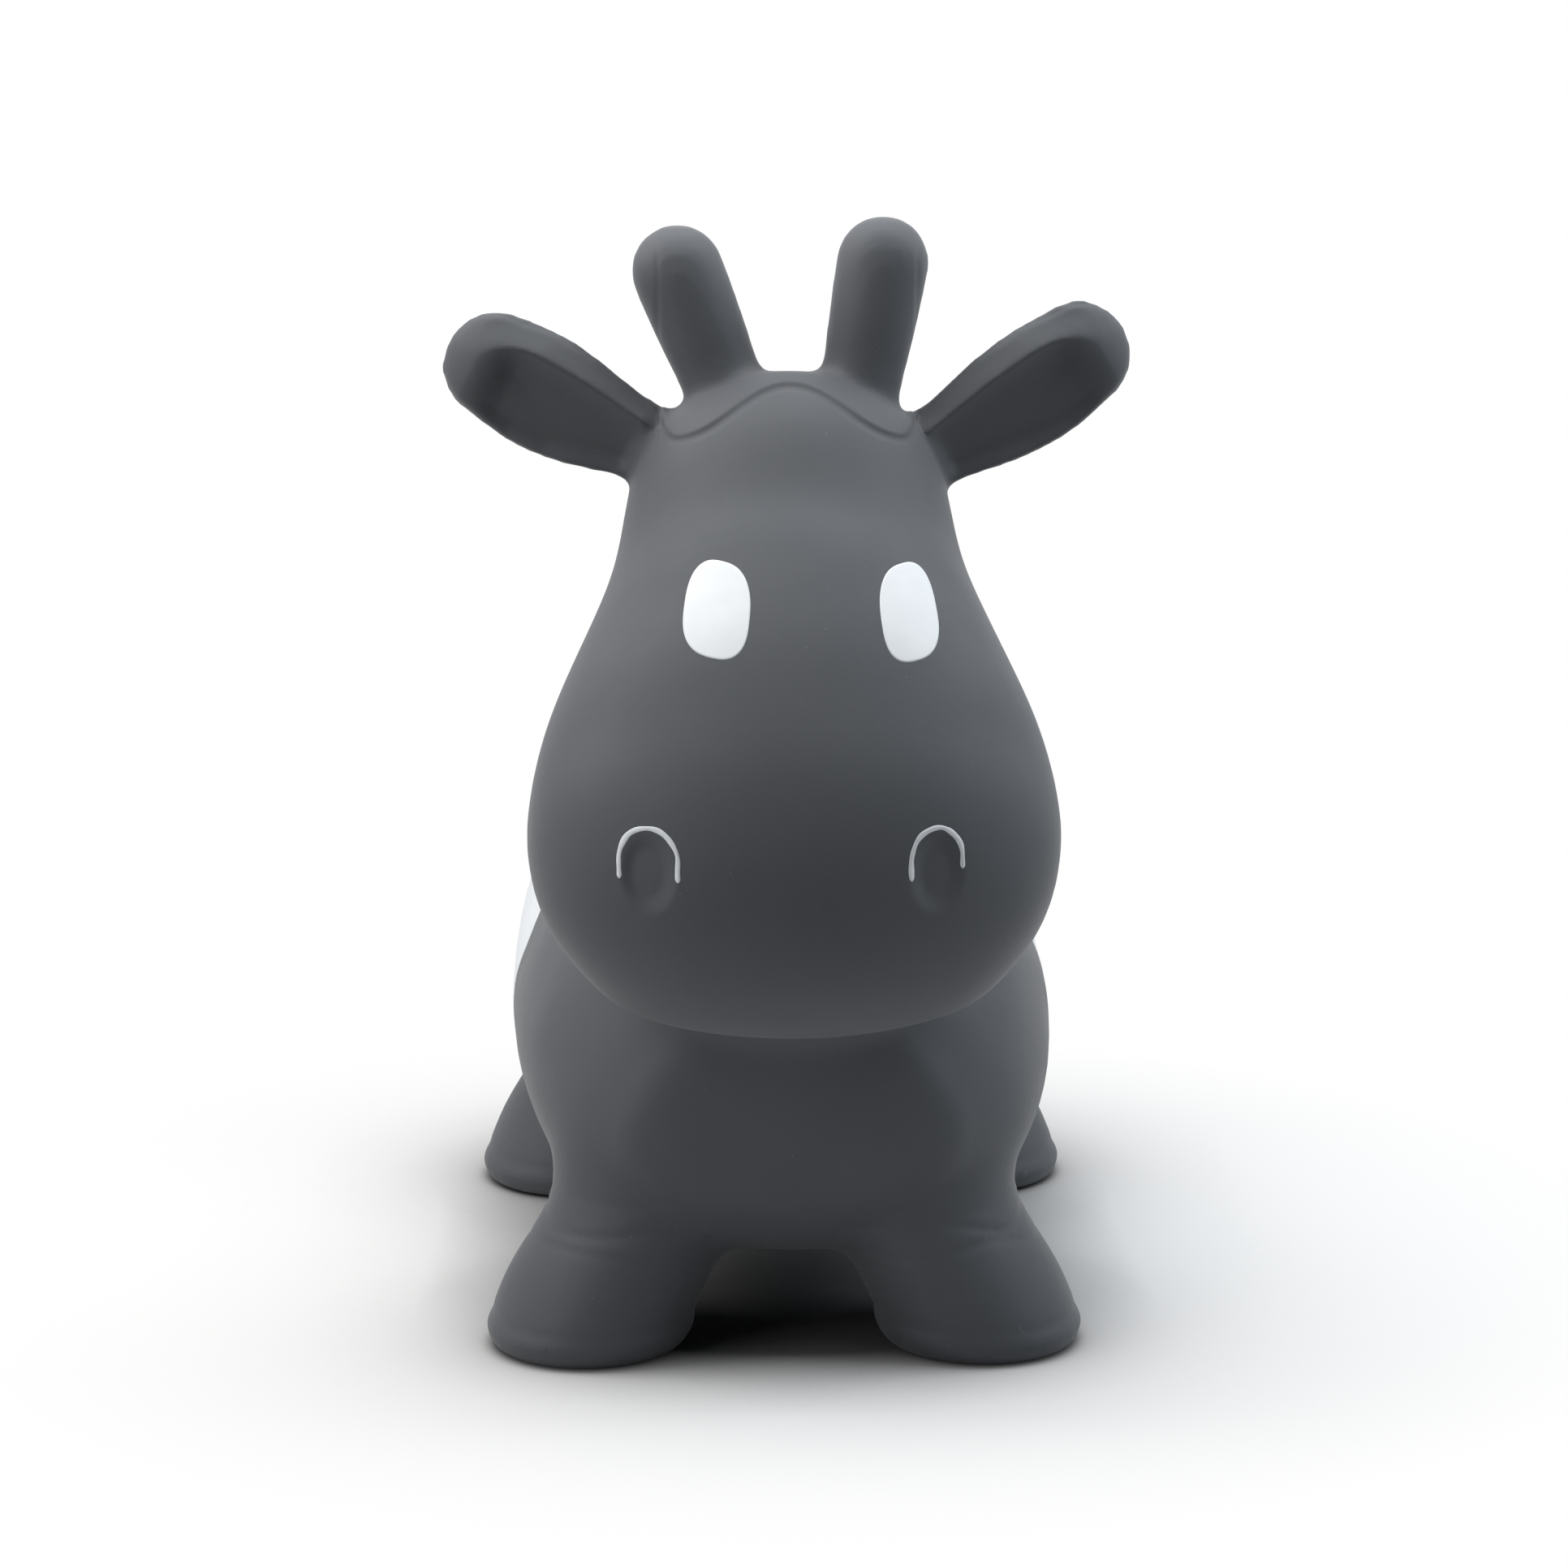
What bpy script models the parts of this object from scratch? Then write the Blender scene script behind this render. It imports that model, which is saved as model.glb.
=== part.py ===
"""Inflatable cow that a small child rides and bounces on.

The real object is one hollow moulded rubber skin on four stub legs, with a valve seat and a pull-out plug
in its belly and white paint on it. The skin is cut here only where the rubber flexes: at the four ankles,
at the neck and at the roots of the ears and horns.

Metres, +Z up. The cow looks along -Y and its own left side is +X. The origin is on the floor, under the
middle of the whole object's box.
"""

import math

import bmesh
import bpy
import numpy as np
from mathutils import Matrix, Vector
from mathutils.bvhtree import BVHTree

# Skin
WALL = 0.0025
GAP = 0.0003
REACH = 0.6

# Torso
TORSO_LENGTH = 0.428
TORSO_WIDTH = 0.235
BELLY_HEIGHT = 0.043
SEAT_HEIGHT = 0.268
CHEST_Y = -0.172
CHEST_CAP = 0.016
RUMP_CAP = 0.009
TORSO_DROOP_SHARE = 0.40

# Each row: share of the length from the chest, then half width, underside and top as shares
TORSO_SHARES = (
    (0.00, 0.62, 0.10, 0.60),
    (0.05, 0.78, 0.00, 0.76),
    (0.14, 0.91, -0.02, 0.90),
    (0.26, 0.98, 0.00, 0.97),
    (0.42, 1.00, 0.03, 0.955),
    (0.58, 1.00, 0.04, 0.96),
    (0.74, 0.98, 0.02, 1.00),
    (0.82, 0.95, 0.05, 0.98),
    (0.89, 0.87, 0.10, 0.92),
    (0.95, 0.71, 0.19, 0.82),
    (1.00, 0.43, 0.32, 0.68),
)

# Neck
NECK_WIDTH = 0.160
NECK_DEPTH = 0.150
NECK_FOOT_Y = -0.040
NECK_FOOT_Z = 0.185
NECK_HEAD_Y = -0.140
NECK_HEAD_Z = 0.285
NECK_CAP = 0.020
NECK_BAND = 0.028
NECK_BAND_SHARE = 0.44

# Head, along a slanted line from the crown to the chin
HEAD_WIDTH = 0.233
HEAD_DEPTH = 0.172
CROWN_Y = -0.092
CROWN_Z = 0.417
CHIN_Y = -0.207
CHIN_Z = 0.177
CROWN_CAP = 0.012
CHIN_CAP = 0.020

# Each row: share of the way forward and of the way down, then half width and half depth as shares
HEAD_SHARES = (
    (0.00, 0.000, 0.395, 0.440),
    (0.05, 0.065, 0.545, 0.600),
    (0.11, 0.155, 0.610, 0.700),
    (0.20, 0.270, 0.650, 0.780),
    (0.33, 0.370, 0.725, 0.835),
    (0.47, 0.460, 0.825, 0.885),
    (0.61, 0.556, 0.923, 0.930),
    (0.73, 0.661, 0.983, 0.977),
    (0.82, 0.746, 1.000, 1.000),
    (0.90, 0.847, 0.961, 0.977),
    (0.96, 0.927, 0.867, 0.895),
    (1.00, 1.000, 0.721, 0.744),
)

# Legs. The ankle cut starts under the middle of the belly and rises to both sides
TRACK_FRONT = 0.1760
TRACK_REAR = 0.195
LEG_OFFSET_FRONT = -0.0026
FRONT_FOOT_Y = -0.135
REAR_FOOT_Y = 0.139
FOOT_WIDTH = 0.0925
FOOT_LENGTH = 0.102
LEG_HEIGHT = 0.130
FOOT_CAP = 0.010
LEG_LEAN = 0.030
TOE_REACH = 0.010
TOE_OUT_DEG = 8
ANKLE_DROP = 0.019
ANKLE_TILT_DEG = 18

# Each row: share of the leg's height, share of the lean inwards, then half width and half length as shares
LEG_SHARES = (
    (0.00, 0.00, 1.00, 0.98),
    (0.05, 0.00, 1.02, 1.01),
    (0.12, 0.07, 0.97, 0.99),
    (0.24, 0.20, 0.95, 0.97),
    (0.37, 0.55, 0.91, 0.93),
    (0.48, 0.86, 0.93, 0.88),
    (0.58, 1.00, 0.98, 0.90),
    (0.77, 1.02, 1.08, 1.02),
    (1.00, 0.98, 1.12, 1.08),
)

# Horns, each from its root in the crown to the middle of its round tip
HORN_TIP_RADIUS = 0.0208
HORN_ROOT_RADIUS = 0.0175
HORN_ROOT_BACK = 0.006
HORN_ROOT_RISE = 0.009
HORN_LEAN_BACK = 0.006
HORN_SINK = 0.020
HORN_FLEX_RADIUS = 0.020
HORN_FLEX_RISE = 0.010
HORN_FLEX_REACH_SHARE = 1.15
HORN_ROOT_OUT_SHARE = {"left": 0.279, "right": 0.242}
HORN_SPREAD = {"left": 0.0096, "right": 0.0199}
HORN_LENGTH = {"left": 0.0530, "right": 0.0495}

# Each row: share of the way to the tip's middle and share of the swell from root to tip radius
HORN_SHARES = ((0.00, 0.00), (0.35, 0.50), (0.70, 0.85), (1.00, 1.00))

# Ears, each from its root on the side of the head to the middle of its round end
EAR_WIDTH = 0.053
EAR_THICKNESS = 0.021
EAR_ROOT_BACK = 0.006
EAR_SWEEP_BACK = 0.008
EAR_SINK = 0.020
EAR_CAP = 0.0235
EAR_FLEX_RADIUS = 0.018
EAR_FLEX_RISE = 0.001
EAR_FLEX_REACH_SHARE = 1.2
EAR_ROOT_OUT_SHARE = 0.55
EAR_ROOT_DROP = {"left": 0.020, "right": 0.016}
EAR_SPREAD = {"left": 0.0660, "right": 0.0650}
EAR_RISE = {"left": 0.0410, "right": 0.0335}
EAR_HOLLOW_DEPTH = 0.005
EAR_HOLLOW_WIDTH = 0.034
EAR_HOLLOW_LENGTH = 0.074
EAR_HOLLOW_SHARE = 0.62

# Each row: share of the way to the round end, then half width and half thickness as shares
EAR_SHARES = (
    (0.00, 0.68, 1.00),
    (0.25, 0.84, 0.96),
    (0.50, 0.96, 0.98),
    (0.75, 1.02, 1.00),
    (1.00, 0.96, 0.92),
)

# Round joints at the roots of ears and horns. They flare past the ends of their arc
FLEX_ARC_DEG = 160
FLEX_FLARE_SHARES = (1.3, 1.6)

# Tail, a short rounded stub that hangs on the rump
TAIL_WIDTH = 0.024
TAIL_RELIEF = 0.009
TAIL_TOP_Z = 0.215
TAIL_LENGTH = 0.085

# Nostrils, pressed into the muzzle under a painted arch
NOSTRIL_X = {"left": 0.0573, "right": -0.0636}
NOSTRIL_Z = 0.243
NOSTRIL_WIDTH = 0.025
NOSTRIL_HEIGHT = 0.036
NOSTRIL_DEPTH = 0.004
ARCH_WIDTH = 0.0225
ARCH_HEIGHT = 0.024
ARCH_STROKE = 0.0026
ARCH_LEG_SHARE = 0.75

# Painted eyes
EYE_X = {"left": 0.0482, "right": -0.0334}
EYE_Z = 0.3465
EYE_WIDTH = {"left": 0.0245, "right": 0.0276}
EYE_HEIGHT = 0.0375
EYE_TILT_DEG = {"left": 7, "right": -7}
EYE_ROUNDNESS_SHARE = 0.72

# Painted flank patches
PATCH_Y = 0.020
PATCH_Z = 0.134
PATCH_LENGTH = 0.145
PATCH_HEIGHT = 0.094
PATCH_LOBE_SHARE = 0.16
PATCH_SKEW_SHARE = 0.10
PAINT = 0.0006

# Valve in the belly
VALVE_Y = 0.030
BORE_RADIUS = 0.0045
SLEEVE_RADIUS = 0.0095
SLEEVE_LENGTH = 0.0130
FLANGE_RADIUS = 0.0150
FLANGE = 0.0025
PLUG_HEAD_RADIUS = 0.0068
PLUG_HEAD = 0.0020
PLUG_TAPER = 0.0010
PLUG_TAPER_LENGTH = 0.0030
PLUG_LENGTH = 0.0150

# How fine the shapes are
BODY_VOXEL = 0.005
SKIN_VOXEL = 0.004
BODY_SMOOTHING = 12
SKIN_SMOOTHING = 6
OUTER_TRIANGLES = 4400
INNER_TRIANGLES = 2200
RING_POINTS = 32
RINGS_PER_SPAN = 5
CAP_RINGS = 6
OUTLINE_POINTS = 28
TURNED_STEPS = 20
FLEX_STEPS = 18
MERGE = 0.00001
PIVOT_SIZE = 0.010

X_AXIS = Vector((1, 0, 0))
Y_AXIS = Vector((0, 1, 0))
Z_AXIS = Vector((0, 0, 1))
SIDES = (("left", 1), ("right", -1))
LEGS = (
    ("front", FRONT_FOOT_Y, TRACK_FRONT, LEG_OFFSET_FRONT),
    ("rear", REAR_FOOT_Y, TRACK_REAR, 0),
)


def clear_scene():
    for obj in list(bpy.data.objects):
        bpy.data.objects.remove(obj, do_unlink=True)


def new_collection(name):
    collection = bpy.data.collections.new(name)
    bpy.context.scene.collection.children.link(collection)
    return collection


def new_material(name, color, roughness):
    material = bpy.data.materials.new(name)
    material.use_nodes = True
    shader = material.node_tree.nodes["Principled BSDF"]
    shader.inputs["Base Color"].default_value = (*color, 1)
    shader.inputs["Roughness"].default_value = roughness
    shader.inputs["Metallic"].default_value = 0
    return material


def between(start, end, share):
    return start + (end - start) * share


def through(rows, place):
    """The row at a fractional place in a table, on a Catmull-Rom curve through its rows."""
    last = len(rows) - 1
    index = min(int(place), last - 1)
    t = place - index
    before, here, there, after = (rows[min(max(i, 0), last)] for i in range(index - 1, index + 3))
    return 0.5 * (
        2 * here
        + (there - before) * t
        + (2 * before - 5 * here + 4 * there - after) * t**2
        + (3 * here - before - 3 * there + after) * t**3
    )


def oval(mesh, centre, side, depth, half_side, half_depth, droop):
    """One ring of vertices. With droop it is egg-shaped, wider where depth points."""
    ring = []
    for i in range(RING_POINTS):
        angle = 2 * math.pi * i / RING_POINTS
        out = side * half_side * math.cos(angle) * (1 + droop * math.sin(angle))
        ring.append(mesh.verts.new(centre + out + depth * half_depth * math.sin(angle)))
    return ring


def add_limb(mesh, stations, side, caps, along=None, droop=0):
    """A closed swelling tube. A station is its centre, half its width along side and half its depth."""
    rows = np.array([(*centre, half_side, half_depth) for centre, half_side, half_depth in stations])
    places = np.linspace(0, len(rows) - 1, (len(rows) - 1) * RINGS_PER_SPAN + 1)
    smooth = [through(rows, place) for place in places]
    centres = [Vector(row[:3]) for row in smooth]
    rings = []
    for i, row in enumerate(smooth):
        ahead = along or (centres[min(i + 1, len(centres) - 1)] - centres[max(i - 1, 0)]).normalized()
        depth = ahead.cross(side).normalized()
        across = depth.cross(ahead).normalized()
        if i == 0:
            pole_before, before = add_cap(mesh, centres[0], -ahead, across, depth, row, caps[0], droop)
            rings.extend(reversed(before))
        rings.append(oval(mesh, centres[i], across, depth, row[3], row[4], droop))
    pole_after, after = add_cap(mesh, centres[-1], ahead, across, depth, smooth[-1], caps[1], droop)
    rings.extend(after)
    for lower, upper in zip(rings, rings[1:]):
        for i in range(RING_POINTS):
            j = (i + 1) % RING_POINTS
            mesh.faces.new((lower[i], lower[j], upper[j], upper[i]))
    for i in range(RING_POINTS):
        j = (i + 1) % RING_POINTS
        mesh.faces.new((pole_before, rings[0][j], rings[0][i]))
        mesh.faces.new((pole_after, rings[-1][i], rings[-1][j]))


def add_cap(mesh, centre, outward, across, depth, row, length, droop):
    """A rounded end: its pole and the rings between the pole and the limb."""
    rings = []
    for i in range(1, CAP_RINGS):
        angle = math.pi / 2 * i / CAP_RINGS
        shrink = math.cos(angle)
        middle = centre + outward * length * math.sin(angle)
        rings.append(oval(mesh, middle, across, depth, row[3] * shrink, row[4] * shrink, droop))
    return mesh.verts.new(centre + outward * length), rings


def torso_stations():
    stations = []
    for along, width, under, top in TORSO_SHARES:
        low = between(BELLY_HEIGHT, SEAT_HEIGHT, under)
        high = between(BELLY_HEIGHT, SEAT_HEIGHT, top)
        centre = Vector((0, CHEST_Y + TORSO_LENGTH * along, (low + high) / 2))
        stations.append((centre, TORSO_WIDTH / 2 * width, (high - low) / 2))
    return stations


def neck_ends():
    return Vector((0, NECK_FOOT_Y, NECK_FOOT_Z)), Vector((0, NECK_HEAD_Y, NECK_HEAD_Z))


def neck_stations():
    foot, top = neck_ends()
    return [(between(foot, top, share), NECK_WIDTH / 2, NECK_DEPTH / 2) for share in (0, 0.5, 1)]


def head_stations():
    stations = []
    for forward, down, width, depth in HEAD_SHARES:
        centre = Vector((0, between(CROWN_Y, CHIN_Y, forward), between(CROWN_Z, CHIN_Z, down)))
        stations.append((centre, HEAD_WIDTH / 2 * width, HEAD_DEPTH / 2 * depth))
    return stations


def leg_stations(x_sign, foot_y, track, offset):
    stations = []
    for up, lean, width, length in LEG_SHARES:
        x = offset + x_sign * (track / 2 - LEG_LEAN * lean)
        centre = Vector((x, foot_y + TOE_REACH * lean, LEG_HEIGHT * up))
        stations.append((centre, FOOT_WIDTH / 2 * width, FOOT_LENGTH / 2 * length))
    return stations


def horn_ends(x_sign, side_name):
    root_x = HEAD_WIDTH / 2 * HORN_ROOT_OUT_SHARE[side_name]
    root = Vector((x_sign * root_x, CROWN_Y - HORN_ROOT_BACK, CROWN_Z + HORN_ROOT_RISE))
    tip = root + Vector((x_sign * HORN_SPREAD[side_name], HORN_LEAN_BACK, HORN_LENGTH[side_name]))
    return root, tip


def horn_stations(x_sign, side_name):
    root, tip = horn_ends(x_sign, side_name)
    sunk = root - (tip - root).normalized() * HORN_SINK
    stations = [(sunk, HORN_ROOT_RADIUS, HORN_ROOT_RADIUS)]
    for along, swell in HORN_SHARES:
        radius = between(HORN_ROOT_RADIUS, HORN_TIP_RADIUS, swell)
        stations.append((between(root, tip, along), radius, radius))
    return stations


def ear_ends(x_sign, side_name):
    root_x = HEAD_WIDTH / 2 * EAR_ROOT_OUT_SHARE
    root = Vector((x_sign * root_x, CROWN_Y - EAR_ROOT_BACK, CROWN_Z - EAR_ROOT_DROP[side_name]))
    tip = root + Vector((x_sign * EAR_SPREAD[side_name], EAR_SWEEP_BACK, EAR_RISE[side_name]))
    return root, tip


def ear_stations(x_sign, side_name):
    root, tip = ear_ends(x_sign, side_name)
    sunk = root - (tip - root).normalized() * EAR_SINK
    shares = EAR_SHARES[0]
    stations = [(sunk, EAR_WIDTH / 2 * shares[1], EAR_THICKNESS / 2 * shares[2])]
    for along, width, thickness in EAR_SHARES:
        stations.append((between(root, tip, along), EAR_WIDTH / 2 * width, EAR_THICKNESS / 2 * thickness))
    return stations


def mesh_from(shape, name):
    """A mesh of a finished bmesh, its faces turned outwards."""
    bmesh.ops.recalc_face_normals(shape, faces=shape.faces)
    mesh = bpy.data.meshes.new(name)
    shape.to_mesh(mesh)
    shape.free()
    return mesh


def reshaped(mesh, *steps):
    """The mesh after a row of modifiers, each given by its type and its settings."""
    obj = bpy.data.objects.new(mesh.name, mesh)
    helpers.objects.link(obj)
    for kind, settings in steps:
        modifier = obj.modifiers.new(kind, kind)
        for key, value in settings.items():
            setattr(modifier, key, value)
    graph = bpy.context.evaluated_depsgraph_get()
    graph.update()
    result = bpy.data.meshes.new_from_object(obj.evaluated_get(graph))
    bpy.data.objects.remove(obj)
    return result


def fused(mesh, voxel, smoothing):
    """The union of the mesh's closed shapes, as one even mesh with its creases rounded."""
    union = ("REMESH", {"mode": "VOXEL", "voxel_size": voxel})
    rounding = ("SMOOTH", {"factor": 0.5, "iterations": smoothing})
    return reshaped(mesh, union, rounding)


def body_form():
    """The torso, neck, head and legs run together."""
    shape = bmesh.new()
    add_limb(shape, torso_stations(), X_AXIS, (CHEST_CAP, RUMP_CAP), Y_AXIS, TORSO_DROOP_SHARE)
    add_limb(shape, neck_stations(), X_AXIS, (NECK_CAP, NECK_CAP))
    add_limb(shape, head_stations(), X_AXIS, (CROWN_CAP, CHIN_CAP))
    for _, foot_y, track, offset in LEGS:
        for _, x_sign in SIDES:
            across = Matrix.Rotation(math.radians(TOE_OUT_DEG) * x_sign, 3, "Z") @ X_AXIS
            stations = leg_stations(x_sign, foot_y, track, offset)
            add_limb(shape, stations, across, (FOOT_CAP, FOOT_CAP), Z_AXIS)
    return fused(mesh_from(shape, "body_form"), BODY_VOXEL, BODY_SMOOTHING)


def dent(points, centre, across, up, half_width, half_height, push):
    """Moves the points inside an upright oval by push, most in its middle."""
    away = points - np.array(centre)
    share = (away @ np.array(across) / half_width) ** 2 + (away @ np.array(up) / half_height) ** 2
    points += np.array(push) * np.where(share < 1, (1 - share) ** 2, 0)[:, None]


def front_of(points, y):
    return points[:, 1] < y


def press_hollows(mesh):
    """Presses the nostrils into the muzzle and the hollows into the fronts of the ears."""
    points = np.empty(len(mesh.vertices) * 3, dtype=np.float32)
    mesh.vertices.foreach_get("co", points)
    points = points.reshape(-1, 3)
    muzzle = front_of(points, CHIN_Y)
    for side_name, x_sign in SIDES:
        pressed = points[muzzle]
        centre = (NOSTRIL_X[side_name], 0, NOSTRIL_Z)
        push = Y_AXIS * NOSTRIL_DEPTH
        dent(pressed, centre, X_AXIS, Z_AXIS, NOSTRIL_WIDTH / 2, NOSTRIL_HEIGHT / 2, push)
        points[muzzle] = pressed
        root, tip = ear_ends(x_sign, side_name)
        along = (tip - root).normalized()
        centre = between(root, tip, EAR_HOLLOW_SHARE)
        face = front_of(points, centre.y) & (points[:, 0] * x_sign > root.x * x_sign)
        pressed = points[face]
        push = Y_AXIS * EAR_HOLLOW_DEPTH
        across = along.cross(Y_AXIS).normalized()
        dent(pressed, centre, along, across, EAR_HOLLOW_LENGTH / 2, EAR_HOLLOW_WIDTH / 2, push)
        points[face] = pressed
    mesh.vertices.foreach_set("co", points.ravel())


def skin_form():
    """The whole outside of the skin, with its soles still rounded."""
    body = body_form()
    shape = bmesh.new()
    shape.from_mesh(body)
    tree = BVHTree.FromBMesh(shape)
    for side_name, x_sign in SIDES:
        add_limb(shape, horn_stations(x_sign, side_name), X_AXIS, (0, HORN_TIP_RADIUS))
        add_limb(shape, ear_stations(x_sign, side_name), Z_AXIS, (0, EAR_CAP))
    add_limb(shape, tail_stations(tree), X_AXIS, (TAIL_WIDTH / 2, TAIL_WIDTH / 2))
    skin = fused(mesh_from(shape, "skin_form"), SKIN_VOXEL, SKIN_SMOOTHING)
    press_hollows(skin)
    return skin


def tail_stations(tree):
    """The tail follows the rump, and stands out from it by its relief."""
    stations = []
    radius = TAIL_WIDTH / 2
    for share in (0, 0.25, 0.5, 0.75, 1):
        height = TAIL_TOP_Z - TAIL_LENGTH * share
        place, normal, _, _ = tree.ray_cast(Vector((0, REACH, height)), -Y_AXIS)
        stations.append((place + normal * (TAIL_RELIEF - radius), radius, radius))
    return stations


def thinned(mesh, triangles, floor):
    """The mesh with few triangles, cut off flat at the height of a floor."""
    mesh.calc_loop_triangles()
    ratio = min(1, triangles / len(mesh.loop_triangles))
    thin = reshaped(mesh, ("DECIMATE", {"ratio": ratio}))
    shape = bmesh.new()
    shape.from_mesh(thin)
    everything = shape.verts[:] + shape.edges[:] + shape.faces[:]
    plane = Z_AXIS * floor
    cut = bmesh.ops.bisect_plane(shape, geom=everything, plane_co=plane, plane_no=Z_AXIS, clear_inner=True)
    rim = [item for item in cut["geom_cut"] if isinstance(item, bmesh.types.BMEdge)]
    bmesh.ops.edgenet_fill(shape, edges=rim)
    return mesh_from(shape, mesh.name)


def skin_solids():
    """The skin's outside and its inside, as two closed meshes."""
    form = skin_form()
    shrink = ("DISPLACE", {"strength": -WALL, "mid_level": 0})
    union = ("REMESH", {"mode": "VOXEL", "voxel_size": SKIN_VOXEL})
    inside = reshaped(form, shrink, union)
    inside.name = "inside"
    return thinned(form, OUTER_TRIANGLES, 0), thinned(inside, INNER_TRIANGLES, WALL)


def helper(name, mesh):
    """A cutter: it shapes the pieces and is no piece itself."""
    obj = bpy.data.objects.new(name, mesh)
    obj.hide_render = True
    obj.display_type = "WIRE"
    helpers.objects.link(obj)
    return obj


def prism(name, outline, origin, across, up, start, length):
    """A straight-sided cutter: an outline drawn along across and up, run along across x up."""
    along = across.cross(up)
    shape = bmesh.new()
    corners = [shape.verts.new(origin + across * u + up * v + along * start) for u, v in outline]
    face = shape.faces.new(corners)
    top = bmesh.ops.extrude_face_region(shape, geom=[face])["geom"]
    moved = [item for item in top if isinstance(item, bmesh.types.BMVert)]
    bmesh.ops.translate(shape, verts=moved, vec=along * length)
    return helper(name, mesh_from(shape, name))


def half_space(name, point, direction, depth):
    """A block that fills the space beyond a plane, to a depth."""
    shape = bmesh.new()
    bmesh.ops.create_cube(shape, size=1)
    turn = direction.to_track_quat("Z", "Y").to_matrix().to_4x4()
    place = Matrix.Translation(point + direction * depth / 2)
    size = Matrix.Diagonal((2 * REACH, 2 * REACH, depth, 1))
    bmesh.ops.transform(shape, matrix=place @ turn @ size, verts=shape.verts)
    return helper(name, mesh_from(shape, name))


def neck_band():
    """The middle of the band of skin that flexes at the neck, and the way from the torso to the head."""
    foot, top = neck_ends()
    return between(foot, top, NECK_BAND_SHARE), (top - foot).normalized()


def ankle_outline(x_sign, gap):
    """The space under the ankle cut on one side, seen from the front."""
    start = BELLY_HEIGHT - ANKLE_DROP - gap
    rise = math.tan(math.radians(ANKLE_TILT_DEG)) * REACH
    return [(0, -REACH), (x_sign * REACH, -REACH), (x_sign * REACH, start + rise), (0, start)]


def flex_outline(radius, far):
    """A limb beyond its round joint, seen along the joint's axis."""
    spread = math.radians(FLEX_ARC_DEG)
    arc = [spread * (i / FLEX_STEPS - 0.5) for i in range(FLEX_STEPS + 1)]
    points = [(radius * math.cos(angle), radius * math.sin(angle)) for angle in arc]
    wide = FLEX_FLARE_SHARES[0] * radius
    high = FLEX_FLARE_SHARES[1] * radius
    return points + [(high, wide), (far, wide), (far, -wide), (high, -wide)]


def flex_cutter(name, centre, tip, radius, half_extent):
    """The space of an ear or a horn, beyond a joint that turns about a centre in its root."""
    along = Vector((tip.x - centre.x, 0, tip.z - centre.z)).normalized()
    far = (tip - centre).length + 2 * half_extent
    return prism(name, flex_outline(radius, far), centre, along, Y_AXIS, -half_extent, 2 * half_extent)


def cut(obj, cutter, operation="DIFFERENCE"):
    modifier = obj.modifiers.new(cutter.name, "BOOLEAN")
    modifier.operation = operation
    modifier.object = cutter


def new_piece(name, mesh, material, pivot):
    """One node. Its mesh lies in the object's frame, and its parent is the empty on its joint."""
    obj = bpy.data.objects.new(name, mesh.copy())
    obj.data.name = name
    obj.data.materials.clear()
    obj.data.materials.append(material)
    obj.parent = pivot
    obj.location = -pivot.location
    part.objects.link(obj)
    return obj


def new_pivot(name, place):
    pivot = bpy.data.objects.new(name, None)
    pivot.empty_display_size = PIVOT_SIZE
    pivot.location = place
    part.objects.link(pivot)
    return pivot


def rounded_oval(width, height, roundness, tilt):
    """A closed outline between an ellipse, at roundness 1, and a rounded box."""
    points = []
    for i in range(OUTLINE_POINTS):
        angle = 2 * math.pi * i / OUTLINE_POINTS
        x, y = (
            size / 2 * math.copysign(abs(value) ** roundness, value)
            for size, value in ((width, math.cos(angle)), (height, math.sin(angle)))
        )
        points.append((x * math.cos(tilt) - y * math.sin(tilt), x * math.sin(tilt) + y * math.cos(tilt)))
    return points


def arch_outline():
    """A stroke along the upper half of an oval, with short straight legs."""
    middle = [(math.cos(angle), math.sin(angle)) for angle in np.linspace(0, math.pi, OUTLINE_POINTS // 2)]
    middle = [(1, -ARCH_LEG_SHARE)] + middle + [(-1, -ARCH_LEG_SHARE)]
    edges = []
    for offset in (ARCH_STROKE / 2, -ARCH_STROKE / 2):
        half_width = ARCH_WIDTH / 2 + offset
        rise = ARCH_HEIGHT / 2 + offset
        drop = ARCH_HEIGHT / 2
        edges.append([(half_width * x, rise * max(y, 0) + drop * min(y, 0)) for x, y in middle])
    return edges[0] + edges[1][::-1]


def patch_outline():
    """An uneven blob of two lobes."""
    points = []
    for i in range(OUTLINE_POINTS):
        angle = 2 * math.pi * i / OUTLINE_POINTS
        reach = 1 + PATCH_LOBE_SHARE * math.cos(2 * angle) + PATCH_SKEW_SHARE * math.sin(3 * angle)
        along = PATCH_LENGTH / 2 * reach * math.cos(angle)
        points.append((along, PATCH_HEIGHT / 2 * reach * math.sin(angle)))
    return points


def turned(name, profile, place, closed, material, pivot):
    """A turned piece. Its profile runs down its outer side."""
    shape = bmesh.new()
    verts = [shape.verts.new((radius, 0, height)) for radius, height in profile]
    for first, second in zip(verts, verts[1:] + verts[:1] if closed else verts[1:]):
        shape.edges.new((first, second))
    mesh = bpy.data.meshes.new(name)
    shape.to_mesh(mesh)
    shape.free()
    obj = new_piece(name, mesh, material, pivot)
    obj.location = place - pivot.location
    screw = obj.modifiers.new("Turn", "SCREW")
    screw.steps = TURNED_STEPS
    screw.render_steps = TURNED_STEPS
    screw.use_merge_vertices = True
    screw.merge_threshold = MERGE
    return obj


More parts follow.
